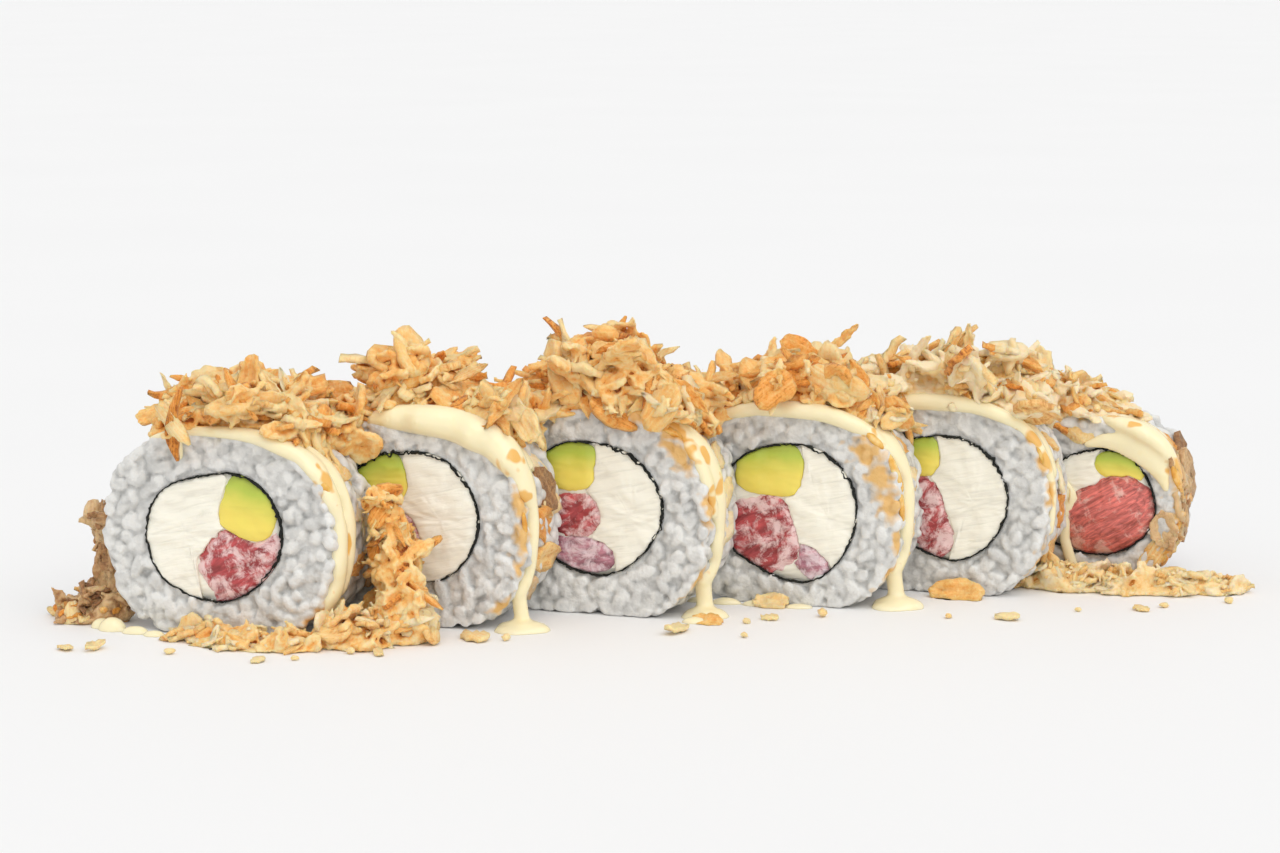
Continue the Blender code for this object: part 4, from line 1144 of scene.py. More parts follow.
# Thick amber smears beside the sauce: the slice, angle in degrees, depth, half length, half width and
# height in millimetres
GLAZE_SMEARS = (
    (1, 24, 0.9, 2.6, 1.0, 1.6), (2, 3, 0.6, 3.0, 1.0, 0.6), (3, 47, 0.9, 4.2, 1.5, 0.8),
    (3, 29, 2.2, 2.2, 1.2, 1.2), (4, 38, 1.4, 3.4, 2.3, 1.1), (4, 20, 1.8, 5.0, 1.8, 0.9),
    (4, 2, 3.0, 4.2, 1.5, 0.7), (5, 24, 0.8, 3.2, 1.0, 0.6), (6, 17, 1.2, 4.4, 2.4, 1.0),
    (6, -12, 3.0, 4.4, 2.4, 0.9),
)
BLOB_STEP = 0.8 * MM


def blob(bm, at, along, normal, length, half_width, height):
    """Adds a flattened drop of sauce at a place."""
    side = along.cross(normal).normalized()
    ahead = normal.cross(side).normalized()
    basis = Matrix((ahead * length, side * half_width, normal * height)).transposed().to_4x4()
    bmesh.ops.create_icosphere(bm, subdivisions=2, radius=1.0, matrix=Matrix.Translation(at) @ basis)


def run_points(cut, run):
    """Places, normals, half widths and heights at small even steps along a run on the outside."""
    outline = outer_outline(cut)
    points = []
    for start, end in zip(run, run[1:]):
        first, _ = surface_frame(cut, outline, start[0])
        last, _ = surface_frame(cut, outline, end[0])
        steps = max(1, round(math.hypot((last - first).length, (end[1] - start[1]) * MM) / BLOB_STEP))
        for step in range(steps):
            degrees, depth, half_width, height = (
                a + (b - a) * step / steps for a, b in zip(start, end)
            )
            at, normal = surface_frame(cut, outline, degrees)
            at.y = depth * MM
            points.append((at, normal, half_width * MM, height * MM))
    return points


def pour_run(bm, cut, run, foot=None):
    """Lays one run of sauce, and lets it fall to a puddle on the ground where it has a foot."""
    points = run_points(cut, run)
    for number, (at, normal, half_width, height) in enumerate(points):
        ahead = points[min(number + 1, len(points) - 1)][0] - points[max(number - 1, 0)][0]
        uneven = 1.0 + 0.45 * wave(at, 5.0 * MM, 5.0)
        at = at + Vector((0.0, 1.1 * MM * wave(at, 8.0 * MM, 8.0), 0.0))
        at.y = max(at.y, 0.55 * MM - half_width * 0.4)
        blob(bm, at + normal * 0.1 * MM, ahead.normalized(), normal, 1.5 * MM, half_width * uneven, height)
    if foot is None:
        return
    out, long_radius, short_radius, puddle_height = (value * MM for value in foot)
    at, normal, half_width, height = points[-1]
    steps = max(2, round(at.z / BLOB_STEP))
    for step in range(steps + 1):
        share = step / steps
        spot = Vector((at.x + out * share, at.y, at.z * (1.0 - share)))
        flare = half_width * (1.0 - 0.25 * math.sin(math.pi * share)) * (1.0 + 0.9 * share ** 6)
        blob(bm, spot, Vector((0, 0, -1)), normal, 1.5 * MM, flare, max(height, 1.5 * MM))
    spot = Vector((at.x + out + 0.4 * MM, at.y - 1.2 * MM, 0.0))
    blob(bm, spot, Vector((1, 0, 0)), UP, long_radius, short_radius, puddle_height)
    blob(bm, spot + Vector((-1.0, -1.6, 0)) * MM, Vector((1, 0.3, 0)), UP, long_radius * 0.8, short_radius,
         puddle_height * 0.7)


def hang_strand(bm, points):
    """A strand that hangs over a cut face."""
    for start, end in zip(points, points[1:]):
        first, last = Vector((start[0], 0.0, start[1])) * MM, Vector((end[0], 0.0, end[1])) * MM
        steps = max(1, round((last - first).length / BLOB_STEP))
        for step in range(steps + 1):
            share = step / steps
            half_width = (start[2] + (end[2] - start[2]) * share) * MM
            at = first.lerp(last, share) + Vector((0.0, -0.35 * MM, 0.0))
            blob(bm, at, (last - first).normalized(), Vector((0, -1, 0)), 1.3 * MM, half_width, 1.0 * MM)


def settled(mesh, index, name):
    """Keeps melted drops above the ground and puts them in the slice's place."""
    places = rows_of(mesh.vertices, "co")
    places[:, 2] = np.maximum(places[:, 2], SAUCE_LIFT)
    mesh.vertices.foreach_set("co", places.ravel())
    above_foot = np.clip((places[:, 2] - 7.0 * MM) / (3.0 * MM), 0.0, 1.0)
    point_values(mesh, "stain", amber_share(index, SLICES[index - 1], places) * above_foot)
    mesh.transform(slice_matrix(index))
    mesh.shade_smooth()
    mesh.name = name
    return mesh


class URAMAKI_OT_sauce(bpy.types.Operator):
    """Pours the thick sauce over the row and its drips and puddles"""

    bl_idname = "uramaki.sauce"
    bl_label = "Sauce"

    def execute(self, context):
        cream = sauce_material()
        amber = glaze_material()
        for index, cut in enumerate(SLICES, start=1):
            outline = outer_outline(cut)
            bm = bmesh.new()
            feet = {run: foot for run, *foot in of_slice(SAUCE_FEET, index)}
            for number, run in enumerate(SAUCE_RUNS[index]):
                pour_run(bm, cut, run, feet.get(number))
            for (points,) in of_slice(SAUCE_STRANDS, index):
                hang_strand(bm, points)
            for across, depth, *size in of_slice(SAUCE_PUDDLES, index):
                at = Vector((across, depth, 0.0)) * MM
                blob(bm, at, Vector((1, 0.2, 0)), UP, *(value * MM for value in size))
            self.melted(bm, "sauce", index, 8, cream)
            bm = bmesh.new()
            for degrees, depth, *size in of_slice(GLAZE_SMEARS, index):
                at, normal = surface_frame(cut, outline, degrees)
                at.y = max(depth, 0.4) * MM
                along = Vector((normal.z, 0.25, -normal.x)).normalized()
                blob(bm, at, along, normal, *(value * MM for value in size))
            self.melted(bm, "glaze", index, 3, amber)
        return {"FINISHED"}

    def melted(self, bm, name, index, softened, material):
        """Melts drops together and places them on their slice."""
        drops = bpy.data.meshes.new("drops")
        bm.to_mesh(drops)
        bm.free()
        piece = settled(melt(drops, sizes().sauce_voxel, softened), index, f"{name}_{index}")
        place_piece(piece.name, piece, material, (f"rice_{index}",))


# Fried onion

CORE_VOXEL = 0.8 * MM
HEAP_CORE_SHRINK = 1.5 * MM
PILE_CORE_SHRINK = 1.2 * MM
ROUGHNESS_SEED = 5
# Share of each kind of piece in a heap, and its shortest and longest length in millimetres
KINDS = {"leaf": (0.38, 6.0, 13.0), "shred": (0.46, 7.0, 16.0), "puff": (0.16, 1.2, 3.4)}
# Share of the pieces that have stuck together, the rest lie loose on them
STUCK_SHARE = 0.42
# Where the heap is parted along the row
HEAP_PARTS = tuple(place * MM for place in (-200.0, -88.0, -46.0, -2.0, 42.0, 86.0, 200.0))
PART_OVERLAP = 1.5 * MM
# Where the heap thins out towards the end slice, and where its crust is paler
LOW_END = 86.0 * MM
PALE_END = 40.0 * MM
STUCK_LEAVES = {
    1: ((10, 14.0, 8.0), (-16, 15.0, 9.0), (30, 13.0, 8.0), (-36, 13.0, 7.0)),
    2: ((-34, 12.0, 9.0), (-18, 14.0, 11.0), (-2, 12.5, 12.0), (14, 14.5, 12.0), (28, 13.0, 10.0),
        (6, 17.0, 10.0)),
    3: ((-10, 14.0, 9.0), (8, 13.0, 9.0), (26, 13.5, 8.0), (40, 11.0, 8.0), (-30, 13.0, 8.0)),
    4: ((-30, 13.0, 9.0), (-12, 13.5, 9.0), (10, 13.5, 9.0), (32, 12.0, 8.0)),
    5: ((-26, 12.0, 9.0), (-8, 13.0, 9.0), (10, 13.0, 8.0), (28, 13.0, 8.0), (44, 11.0, 8.0)),
    6: ((-34, 5.0, 8.0), (-30, 11.0, 10.0), (-18, 6.0, 9.0), (-14, 13.0, 11.0), (-4, 8.0, 10.0),
        (2, 14.0, 11.0), (10, 5.5, 8.0), (16, 11.0, 11.0), (26, 15.0, 10.0), (34, 11.0, 9.0),
        (-24, 17.0, 9.0), (8, 18.0, 10.0), (22, 2.0, 8.0), (12, 2.4, 8.0), (2, 1.8, 9.0),
        (-9, 2.4, 8.0), (-20, 1.8, 9.0), (-32, 2.2, 8.0), (26, 5.0, 9.0), (6, 5.4, 9.0),
        (-12, 5.6, 9.0), (-26, 7.0, 9.0), (18, 7.4, 9.0), (-2, 3.6, 8.0)),
}
FLANK_FINISHES = {
    1: ("pale", "golden"), 2: ("dark", "pale", "amber"), 3: ("pale", "golden"), 4: ("pale", "amber"),
    5: ("pale", "amber"), 6: ("dark", "amber", "dark", "dark"),
}

# Pieces that stand out in the heap: slice, kind, finish, across, depth and height of the middle in
# millimetres, length in millimetres, turn on the cut face and tilt towards the sky in degrees
Standout = namedtuple("Standout", "slice kind finish across depth height length turn tilt")
STANDOUTS = tuple(Standout(*values) for values in (
    (1, "shred", "golden", -14.2, 8, 51.0, 9, -60, 10), (1, "leaf", "golden", -5.8, 8, 53.8, 10, 10, 20),
    (1, "leaf", "golden", 4.6, 8, 54.0, 11, 84, 10), (1, "shred", "golden", 10.2, 8, 52.0, 11, -52, 10),
    (1, "leaf", "golden", 14.5, 7, 48.6, 9, -32, 30), (1, "leaf", "golden", -10.0, 4, 47.8, 10, 8, 30),
    (1, "leaf", "amber", 2.5, 2, 47.2, 12, -6, 20), (1, "leaf", "golden", -17.0, 5, 46.6, 8, 20, 30),
    (2, "leaf", "amber", -20.9, 5, 48.0, 15, 12, 15), (2, "leaf", "golden", -14.0, 1, 44.4, 11, 34, 15),
    (2, "leaf", "golden", -3.9, 8, 58.2, 9.5, 12, 25), (2, "leaf", "golden", -4.5, 5, 53.6, 13, 22, 20),
    (2, "shred", "amber", 10.0, 8, 54.3, 11, 26, 10), (2, "leaf", "pale", 17.5, 7, 48.6, 14, -12, 30),
    (2, "leaf", "golden", 24.0, 7, 44.6, 9, -52, 10), (2, "shred", "golden", -8.0, 6, 50.0, 13, 28, 15),
    (3, "puff", "golden", -0.2, 10, 61.0, 6, 0, 0), (3, "leaf", "golden", -7.7, 8, 57.0, 9, 42, 15),
    (3, "leaf", "golden", 8.5, 8, 56.4, 10, -36, 15), (3, "leaf", "amber", -12.1, 4, 50.0, 10, 12, 10),
    (3, "shred", "golden", 13.8, 6, 53.0, 11, -32, 10), (3, "shred", "golden", 21.0, 6, 49.0, 11, -42, 10),
    (3, "shred", "golden", 0.0, 3, 53.0, 13, 24, 10), (3, "shred", "pale", 6.0, 2, 50.6, 13, -12, 10),
    (3, "shred", "golden", -5.0, 2, 48.8, 13, 2, 10), (3, "leaf", "golden", 2.0, 6, 57.4, 9, -10, 20),
    (4, "shred", "golden", 9.8, 10, 58.6, 11, 42, 5), (4, "leaf", "golden", 0.6, 8, 57.0, 9, -22, 15),
    (4, "shred", "golden", -4.0, 7, 54.4, 11, 36, 10), (4, "leaf", "golden", -8.6, 6, 50.6, 10, 26, 20),
    (4, "leaf", "golden", 6.3, 6, 52.2, 10, -38, 15), (4, "shred", "golden", 16.6, 6, 49.4, 13, -58, 5),
    (4, "shred", "amber", 21.0, 7, 44.4, 11, -72, 5), (4, "shred", "golden", 0.0, 3, 49.0, 12, 14, 10),
    (5, "shred", "golden", -5.4, 8, 51.6, 15, 46, 5), (5, "shred", "golden", 4.4, 9, 54.2, 13, 80, 5),
    (5, "shred", "amber", -0.6, 9, 53.4, 14, 58, 5), (5, "leaf", "pale", 3.9, 4, 48.4, 8, 4, 15),
    (5, "leaf", "golden", 16.4, 7, 45.4, 11, -34, 25), (5, "leaf", "golden", 11.0, 8, 49.4, 10, -44, 15),
    (6, "leaf", "golden", -12.0, 10, 48.2, 10, 98, 5), (6, "leaf", "golden", -9.0, 7, 44.6, 9, -20, 20),
    (6, "leaf", "pale", -0.6, 0.4, 36.4, 14, -14, 22), (6, "shred", "amber", -1.0, 12, 42.2, 17, -28, 15),
    (6, "leaf", "dark", 19.4, -0.2, 13.6, 9, 98, 0), (6, "leaf", "amber", 17.4, -0.4, 7.4, 9, 58, 0),
    (6, "shred", "pale", -3.6, 8, 41.6, 15, -24, 20), (6, "shred", "pale", 4.6, 8, 38.6, 14, -30, 25),
    (6, "leaf", "amber", -5.0, -0.5, 18.2, 10, 84, 0), (6, "leaf", "pale", -7.4, 0.4, 24.0, 8, 66, 5),
    (2, "shred", "pale", -12.4, -3.2, 29.0, 20, -66, -5),
    (2, "shred", "pale", -8.0, -4.6, 19.6, 21, -62, -5),
    (2, "shred", "pale", -3.2, -5.6, 10.6, 19, -58, -10), (2, "leaf", "amber", -2.6, -2.6, 20.6, 9, 14, -5),
    (2, "leaf", "amber", 0.2, -1.4, 17.6, 7, 84, 0), (2, "leaf", "pale", 3.4, -4.0, 6.4, 9, 4, 15),
    (2, "leaf", "golden", -5.4, -4.4, 5.8, 9, 42, 20),
    (2, "leaf", "pale", -9.5, -6.0, 2.6, 11, 12, 35), (2, "leaf", "golden", 0.2, -5.4, 2.2, 10, -14, 40),
    (2, "leaf", "dark", -9.6, -1.2, 12.0, 8, 70, 0),
    (1, "puff", "dark", -33.6, 8, 23.1, 6.4, 98, 0), (1, "shred", "dark", -32.2, 8, 13.4, 11, 82, 0),
    (1, "shred", "dark", -30.6, 8, 18.6, 8, 102, 0), (1, "shred", "amber", -32.6, 7, 6.6, 10, 62, 0),
    (1, "shred", "golden", -37.0, 7, 2.2, 10, 14, 30), (1, "shred", "pale", -41.5, 7, 1.0, 8, 2, 50),
    (1, "leaf", "dark", -29.6, 5, 6.8, 9, 70, 0), (1, "leaf", "dark", -30.4, 7, 19.4, 9, 96, 0),
    (1, "leaf", "dark", -30.0, 6, 12.6, 10, 84, 0), (5, "leaf", "golden", 5.8, -4.5, 1.4, 12.5, 4, 30),
    (1, "shred", "golden", 22.8, 11.8, 35.0, 13, -72, -20),
    (1, "shred", "pale", 24.8, 14.0, 27.6, 15, -76, -22),
    (1, "shred", "golden", 26.6, 18.4, 18.6, 14, -76, -22),
    (1, "shred", "pale", 29.0, 20.6, 11.0, 12, -66, -20),
    (4, "leaf", "pale", -2.0, -3.0, 1.2, 8, 0, 60), (3, "leaf", "golden", 27.0, -1.0, 1.0, 7, 0, 60),
))


def leaf_shape(rng, fineness=1):
    """A puffed chip of onion: a shallow crinkled bowl of unit length with a torn edge."""
    bm = bmesh.new()
    bmesh.ops.create_grid(bm, x_segments=6 * fineness, y_segments=4 * fineness, size=1.0)
    width, bowl, seed = rng.uniform(0.46, 0.68), rng.uniform(-0.2, 0.45), 20.0 * rng.random()
    for vert in bm.verts:
        x = vert.co.x * math.sqrt(1.0 - vert.co.y ** 2 / 2.0)
        y = vert.co.y * math.sqrt(1.0 - vert.co.x ** 2 / 2.0)
        ragged = 0.5 + 0.11 * noise.noise(Vector((x * 2.2, y * 2.2, seed)))
        ragged += 0.04 * noise.noise(Vector((x * 6.0, y * 6.0, seed + 9.0)))
        height = 0.28 * bowl * (x * x + y * y) + 0.10 * noise.noise(Vector((x * 2.0, y * 2.4, seed + 5.0)))
        height += 0.04 * noise.noise(Vector((x * 2.5, y * 8.0, seed + 3.0)))
        vert.co = (x * ragged, y * ragged * width, height)
    bmesh.ops.solidify(bm, geom=bm.faces[:], thickness=0.12)
    return rough_shape(bm, 0.022, 0.5 * width)


def shred_shape(rng, fineness=1):
    """A crinkled strip of onion of unit length, curled and twisted."""
    bm = bmesh.new()
    bmesh.ops.create_grid(bm, x_segments=8 * fineness, y_segments=2 * fineness, size=0.5)
    width, curl, twist = rng.uniform(0.11, 0.26), rng.uniform(-0.7, 0.8), rng.uniform(-1.5, 1.5)
    sway, seed = rng.uniform(-0.5, 0.5), 20.0 * rng.random()
    for vert in bm.verts:
        x, y = vert.co.x, vert.co.y
        taper = max(0.2, 1.0 - 0.8 * abs(2.0 * x) ** 2.4)
        across = y * width * taper * (1.0 + 0.8 * noise.noise(Vector((x * 6.0, y * 2.0, seed))))
        height = curl * x * x * 0.5 + 0.6 * across * y
        height += 0.07 * noise.noise(Vector((x * 8.0, y * 2.0, seed + 5.0)))
        vert.co = (
            x,
            across * math.cos(twist * x) + sway * x * x,
            height + across * math.sin(twist * x),
        )
    bmesh.ops.solidify(bm, geom=bm.faces[:], thickness=0.09)
    return rough_shape(bm, 0.022, 0.5 * width)


def puff_shape(rng):
    """A crumb of fried batter of unit length."""
    bm = bmesh.new()
    bmesh.ops.create_icosphere(bm, subdivisions=2, radius=0.5)
    stretch = Vector((1.0, rng.uniform(0.55, 0.85), rng.uniform(0.45, 0.7)))
    seed = 20.0 * rng.random()
    for vert in bm.verts:
        vert.co *= 1.0 + 0.45 * noise.noise(vert.co * 3.2 + Vector((seed, 0.0, 0.0)))
        vert.co *= stretch
    return rough_shape(bm, 0.03, 0.35)


def rough_shape(bm, amount, half_width):
    """Roughens a small shape and gives its corners, triangles and how near its side edges they lie."""
    for vert in bm.verts:
        vert.co += Vector(noise.noise_vector(vert.co * 13.0)) * amount
    corners, faces = triangles_of(bm)
    return corners, faces, np.clip(np.abs(corners[:, 1]) / half_width, 0.0, 1.2)


def onion_shapes(rng, fineness=1):
    """Shapes of each kind of piece; the noise that roughens them has its own seed."""
    noise.seed_set(ROUGHNESS_SEED)
    return {
        "leaf": [leaf_shape(rng, fineness) for _ in range(14)],
        "shred": [shred_shape(rng, fineness) for _ in range(14)],
        "puff": [puff_shape(rng) for _ in range(6)],
    }


def piece_copy(shape, length, matrix, tone):
    """One copy of a shape as corners, faces and its tone and edge values."""
    corners, faces, edge = shape
    return moved(corners * length, matrix), faces, (tone, edge)


def laid(at, normal, rng, lean):
    """A place on a surface, leaning a little and turned at random."""
    tip = Matrix.Rotation(rng.uniform(-lean, lean), 4, "X")
    tip @= Matrix.Rotation(rng.uniform(-lean, lean), 4, "Y")
    turn = Matrix.Rotation(rng.uniform(0.0, 2.0 * math.pi), 4, "Z")
    return Matrix.Translation(at) @ facing(normal, 0.0) @ tip @ turn


def solid_surface(node):
    """Triangles of a solid: their corners, normals and areas as arrays."""
    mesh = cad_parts[node].data
    mesh.calc_loop_triangles()
    triangles = rows_of(mesh.vertices, "co")[rows_of(mesh.loop_triangles, "vertices", 3, int)]
    cross = np.cross(triangles[:, 1] - triangles[:, 0], triangles[:, 2] - triangles[:, 0])
    areas = np.linalg.norm(cross, axis=1) / 2.0
    normals = cross / np.maximum(2.0 * areas[:, None], 1e-15)
    return triangles, normals, areas


def scattered(node, count, seed, lowest_normal=-0.35):
    """Places and normals spread evenly over a solid's outside, leaving its underside."""
    triangles, normals, areas = solid_surface(node)
    areas = np.where(normals[:, 2] < lowest_normal, 0.0, areas)
    draw = np.random.default_rng(seed)
    picks = draw.choice(len(areas), size=count, p=areas / areas.sum())
    shares = draw.random((count, 2))
    shares = np.where((shares.sum(axis=1) > 1.0)[:, None], 1.0 - shares, shares)
    for pick, (a, b) in zip(picks, shares):
        corner = triangles[pick]
        at = corner[0] + a * (corner[1] - corner[0]) + b * (corner[2] - corner[0])
        yield Vector(at), Vector(normals[pick])


def crumb_core(name, node, shrink):
    """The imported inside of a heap: the solid drawn in, made crumbly and sunk into what it lies on."""
    bm = bmesh.new()
    bm.from_mesh(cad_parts[node].data)
    bmesh.ops.remove_doubles(bm, verts=bm.verts, dist=1e-6)
    solid = bpy.data.meshes.new(name)
    bm.to_mesh(solid)
    bm.free()
    made = melt(solid, CORE_VOXEL)
    made.name = name
    bm = bmesh.new()
    bm.from_mesh(made)
    bm.normal_update()
    for vert in bm.verts:
        strands = 1.0 - 3.0 * abs(wave((0.45 * vert.co.x, vert.co.y, vert.co.z), 1.5 * MM, 6.0))
        rough = 1.1 * wave(vert.co, 3.2 * MM, 6.0) + 0.55 * strands
        inward = shrink if vert.normal.z > -0.25 else -1.2 * MM
        vert.co += vert.normal * (rough * 0.8 * MM - inward)
        vert.co.z = max(vert.co.z, 0.05 * MM)
    bm.to_mesh(made)
    bm.free()
    return made


def part_of(mesh, low, high):
    """The part of a closed mesh between two places along the row, closed again, as arrays."""
    bm = bmesh.new()
    bm.from_mesh(mesh)
    for place, side in ((low - PART_OVERLAP, -1.0), (high + PART_OVERLAP, 1.0)):
        bmesh.ops.bisect_plane(
            bm, geom=bm.verts[:] + bm.edges[:] + bm.faces[:], plane_co=(place, 0.0, 0.0),
            plane_no=(side, 0.0, 0.0), clear_outer=True,
        )
        bmesh.ops.holes_fill(bm, edges=[edge for edge in bm.edges if edge.is_boundary], sides=0)
    return triangles_of(bm)


def stuck_together(name, parts, lift):
    """Onion pieces fried into one crumbly mass, with painted shade darkening its hollows and a faint
    painted highlight on its ridges.
    """
    loose = joined_copies(name, [(corners, faces, ()) for corners, faces in parts])
    made = melt(loose, sizes().onion_voxel, 1)
    made.name = name
    places = rows_of(made.vertices, "co")
    normals = rows_of(made.vertex_normals, "vector")
    hollow = hollowness(made, places)
    crumbs = np.array([wave(place, 0.9 * MM, 12.0) + 0.6 * wave(place, 2.0 * MM, 13.0) for place in places])
    patches = np.array([wave(place, 6.0 * MM, 14.0) for place in places])
    places += normals * (crumbs * 0.22 * MM)[:, None]
    places[:, 2] = np.maximum(places[:, 2], ONION_LIFT)
    made.vertices.foreach_set("co", places.ravel())
    made.shade_smooth()
    # Painted shade: the tone is lowered in the mass's hollows; painted highlight: it is raised a little on
    # its ridges. The lift, patches and crumbs are the crust's own colour.
    tone = lift + 0.22 * patches + 0.14 * crumbs - 0.44 * np.clip(hollow / (0.35 * MM), -0.1, 1.0)
    point_values(made, "tone", tone)
    point_values(made, "edge", np.full(len(places), 0.3))
    return made


# Each pile: its name, number of pieces, size against the heap's, the finish of its stuck mass, the
# finish of loose pieces high up and the height in millimetres from which it is used, their finish low
# down, and how proud the pieces lie in millimetres
Pile = namedtuple("Pile", "name count scale mass high from_height low proud")
PILES = {
    "crisps_left": Pile("onion_pile_left", 200, 0.62, "dark", "dark", 4.0, "amber", 0.0),
    "crisps_front": Pile("onion_pile_front", 300, 0.72, "golden", "golden", 6.0, "pale", 0.0),
    "crisps_right": Pile("onion_pile_right", 340, 0.78, "pale", "golden", 30.0, "pale", 0.2),
}


# Angles in degrees between which a slice's front rim shows its sauce, so no onion covers it
BARE_RIMS = {
    1: (20.0, 126.0), 2: (12.0, 116.0), 3: (-30.0, 64.0), 4: (20.0, 132.0), 5: (20.0, 128.0),
    6: (16.0, 96.0),
}


def bare_rims():
    """The bare rims as (place of the slice turned back, outline, middle of the cut face, angles)."""
    return [
        (slice_matrix(index).inverted(), outer_outline(cut), cut.height / 2.0, BARE_RIMS[index])
        for index, cut in enumerate(SLICES, start=1)
    ]


def covers_sauce(at, length, rims):
    """Whether a piece of that length would hide the sauce on a slice's front rim."""
    for back, outline, middle, (low, high) in rims:
        local = back @ at
        if not -4.0 * MM < local.y < 3.4 * MM + 0.3 * length:
            continue
        angle = math.atan2(local.z - middle, local.x)
        if not low < math.degrees(angle) < high:
            continue
        lift = math.hypot(local.x, local.z - middle) - reach(outline, (0.0, middle), angle)
        if -2.0 * MM < lift < 2.0 * MM + 0.2 * length:
            return True
    return False


def heap_pieces(node, pile, count, seed, shapes, rng):
    """Pieces over a heap's solid: those that are stuck, and loose ones listed by kind and finish."""
    listed, stuck = {}, []
    names = list(KINDS)
    rims = bare_rims() if node == "crisp_heap" else []
    for at, normal in scattered(node, count, seed):
        kind = rng.choices(names, weights=[KINDS[name][0] for name in names])[0]
        _, shortest, longest = KINDS[kind]
        low_end = at.x > LOW_END
        length = rng.uniform(shortest, longest) * MM * pile.scale * (0.8 if low_end else 1.0)
        if covers_sauce(at, length, rims):
            continue
        jitter = 0.15 if low_end else 0.22
        sway = Vector([rng.uniform(-jitter, jitter) for _ in range(3)])
        outward = (normal + UP * 0.3 + sway).normalized()
        proud = 0.9 * MM if kind == "puff" else 0.0
        spot = at + normal * (rng.uniform(-1.3, 0.3) * MM + proud + (pile.proud - 0.8 * low_end) * MM)
        copy = piece_copy(
            rng.choice(shapes[kind]), length, laid(spot, outward, rng, 0.3), rng.uniform(-0.05, 0.35)
        )
        copy[0][:, 2] = np.maximum(copy[0][:, 2], ONION_LIFT)
        if rng.random() < STUCK_SHARE:
            stuck.append((at.x, copy[0], copy[1]))
            continue
        finish = pile.high if at.z > pile.from_height * MM else pile.low
        if finish == "golden":
            paler = 0.07 + 0.5 * (at.x > PALE_END)
            draw = rng.random()
            finish = "amber" if draw < 0.12 else "pale" if draw > 1.0 - paler else "golden"
        listed.setdefault((kind, finish), []).append(copy)
    return stuck, listed


def standout_copy(piece, shapes, rng):
    """A piece laid at its own place and turn in its slice."""
    tilt, turn = math.radians(piece.tilt), math.radians(piece.turn)
    normal = Vector((0.0, -math.cos(tilt), math.sin(tilt)))
    right = Vector((1.0, 0.0, 0.0))
    basis = Matrix((right, normal.cross(right), normal)).transposed().to_4x4()
    at = Vector((piece.across, piece.depth, piece.height)) * MM
    matrix = slice_matrix(piece.slice) @ Matrix.Translation(at) @ basis @ Matrix.Rotation(turn, 4, "Z")
    copy = piece_copy(rng.choice(shapes[piece.kind]), piece.length * MM, matrix, rng.uniform(0.05, 0.4))
    copy[0][:, 2] = np.maximum(copy[0][:, 2], ONION_LIFT)
    return copy


class URAMAKI_OT_onion(bpy.types.Operator):
    """Heaps fried onion over the row, at its feet and on its flanks"""

    bl_idname = "uramaki.onion"
    bl_label = "Fried onion"

    def execute(self, context):
        finishes = {
            "golden": crisp_material("fried_onion", "#A8560F", "#F4A646", "#FEC97A", "#FFE2A8"),
            "amber": crisp_material("fried_onion_amber", "#A5560F", "#E6932F", "#F6B966", "#FEE0A6"),
            "pale": crisp_material("fried_onion_pale", "#D48B36", "#F9C77C", "#FEDDA0", "#FFE9C2"),
            "dark": crisp_material("fried_onion_dark", "#543218", "#8C5D38", "#BA8C5C", "#E2BF8E"),
        }
        rng = random.Random(33)
        shapes = onion_shapes(rng)
        fine = onion_shapes(rng, 2)
        heap = Pile("onion_heap", sizes().heap_pieces, 1.0, "golden", "golden", -1.0, "golden", 0.0)
        for number, (node, pile) in enumerate({"crisp_heap": heap, **PILES}.items()):
            shrink = HEAP_CORE_SHRINK if pile is heap else PILE_CORE_SHRINK
            core = crumb_core(f"{pile.name}_core", node, shrink)
            stuck, listed = heap_pieces(node, pile, pile.count, 40 + number, shapes, rng)
            ends = HEAP_PARTS if pile is heap else (HEAP_PARTS[0], HEAP_PARTS[-1])
            for part, (low, high) in enumerate(zip(ends, ends[1:]), start=1):
                pieces = [part_of(core, low, high)]
                pieces += [(corners, faces) for x, corners, faces in stuck if low <= x < high]
                mass = stuck_together(f"{pile.name}_{part}", pieces, 0.38 if low > PALE_END else 0.18)
                finish = "pale" if low > PALE_END else pile.mass
                place_piece(mass.name, mass, finishes[finish], (node,), "crisps")
            bpy.data.meshes.remove(core)
            for (kind, finish), copies in sorted(listed.items()):
                mesh = joined_copies(f"{pile.name}_{kind}_{finish}", copies, ("tone", "edge"))
                place_piece(mesh.name, mesh, finishes[finish], (node,), "crisps")
        for finish, material in finishes.items():
            copies = [standout_copy(piece, fine, rng) for piece in STANDOUTS if piece.finish == finish]
            copies += self.leaves_on_flanks(finish, shapes, rng)
            mesh = joined_copies(f"onion_standing_{finish}", copies, ("tone", "edge"))
            place_piece(mesh.name, mesh, material, (), "crisps")
        return {"FINISHED"}

    def leaves_on_flanks(self, finish, shapes, rng):
        """Thin leaves of one finish that the sauce has stuck flat to the slices' flanks."""
        copies = []
        for index, cut in enumerate(SLICES, start=1):
            outline = outer_outline(cut)
            finishes = FLANK_FINISHES[index]
            for number, (degrees, depth, length) in enumerate(STUCK_LEAVES[index]):
                if finishes[number % len(finishes)] != finish:
                    continue
                at, normal = surface_frame(cut, outline, degrees)
                at.y = depth * MM
                matrix = slice_matrix(index) @ laid(at + normal * 0.4 * MM, normal, rng, 0.2)
                shape = rng.choice(shapes["leaf"])
                copies.append(piece_copy(shape, length * MM, matrix, rng.uniform(0.0, 0.45)))
        return copies


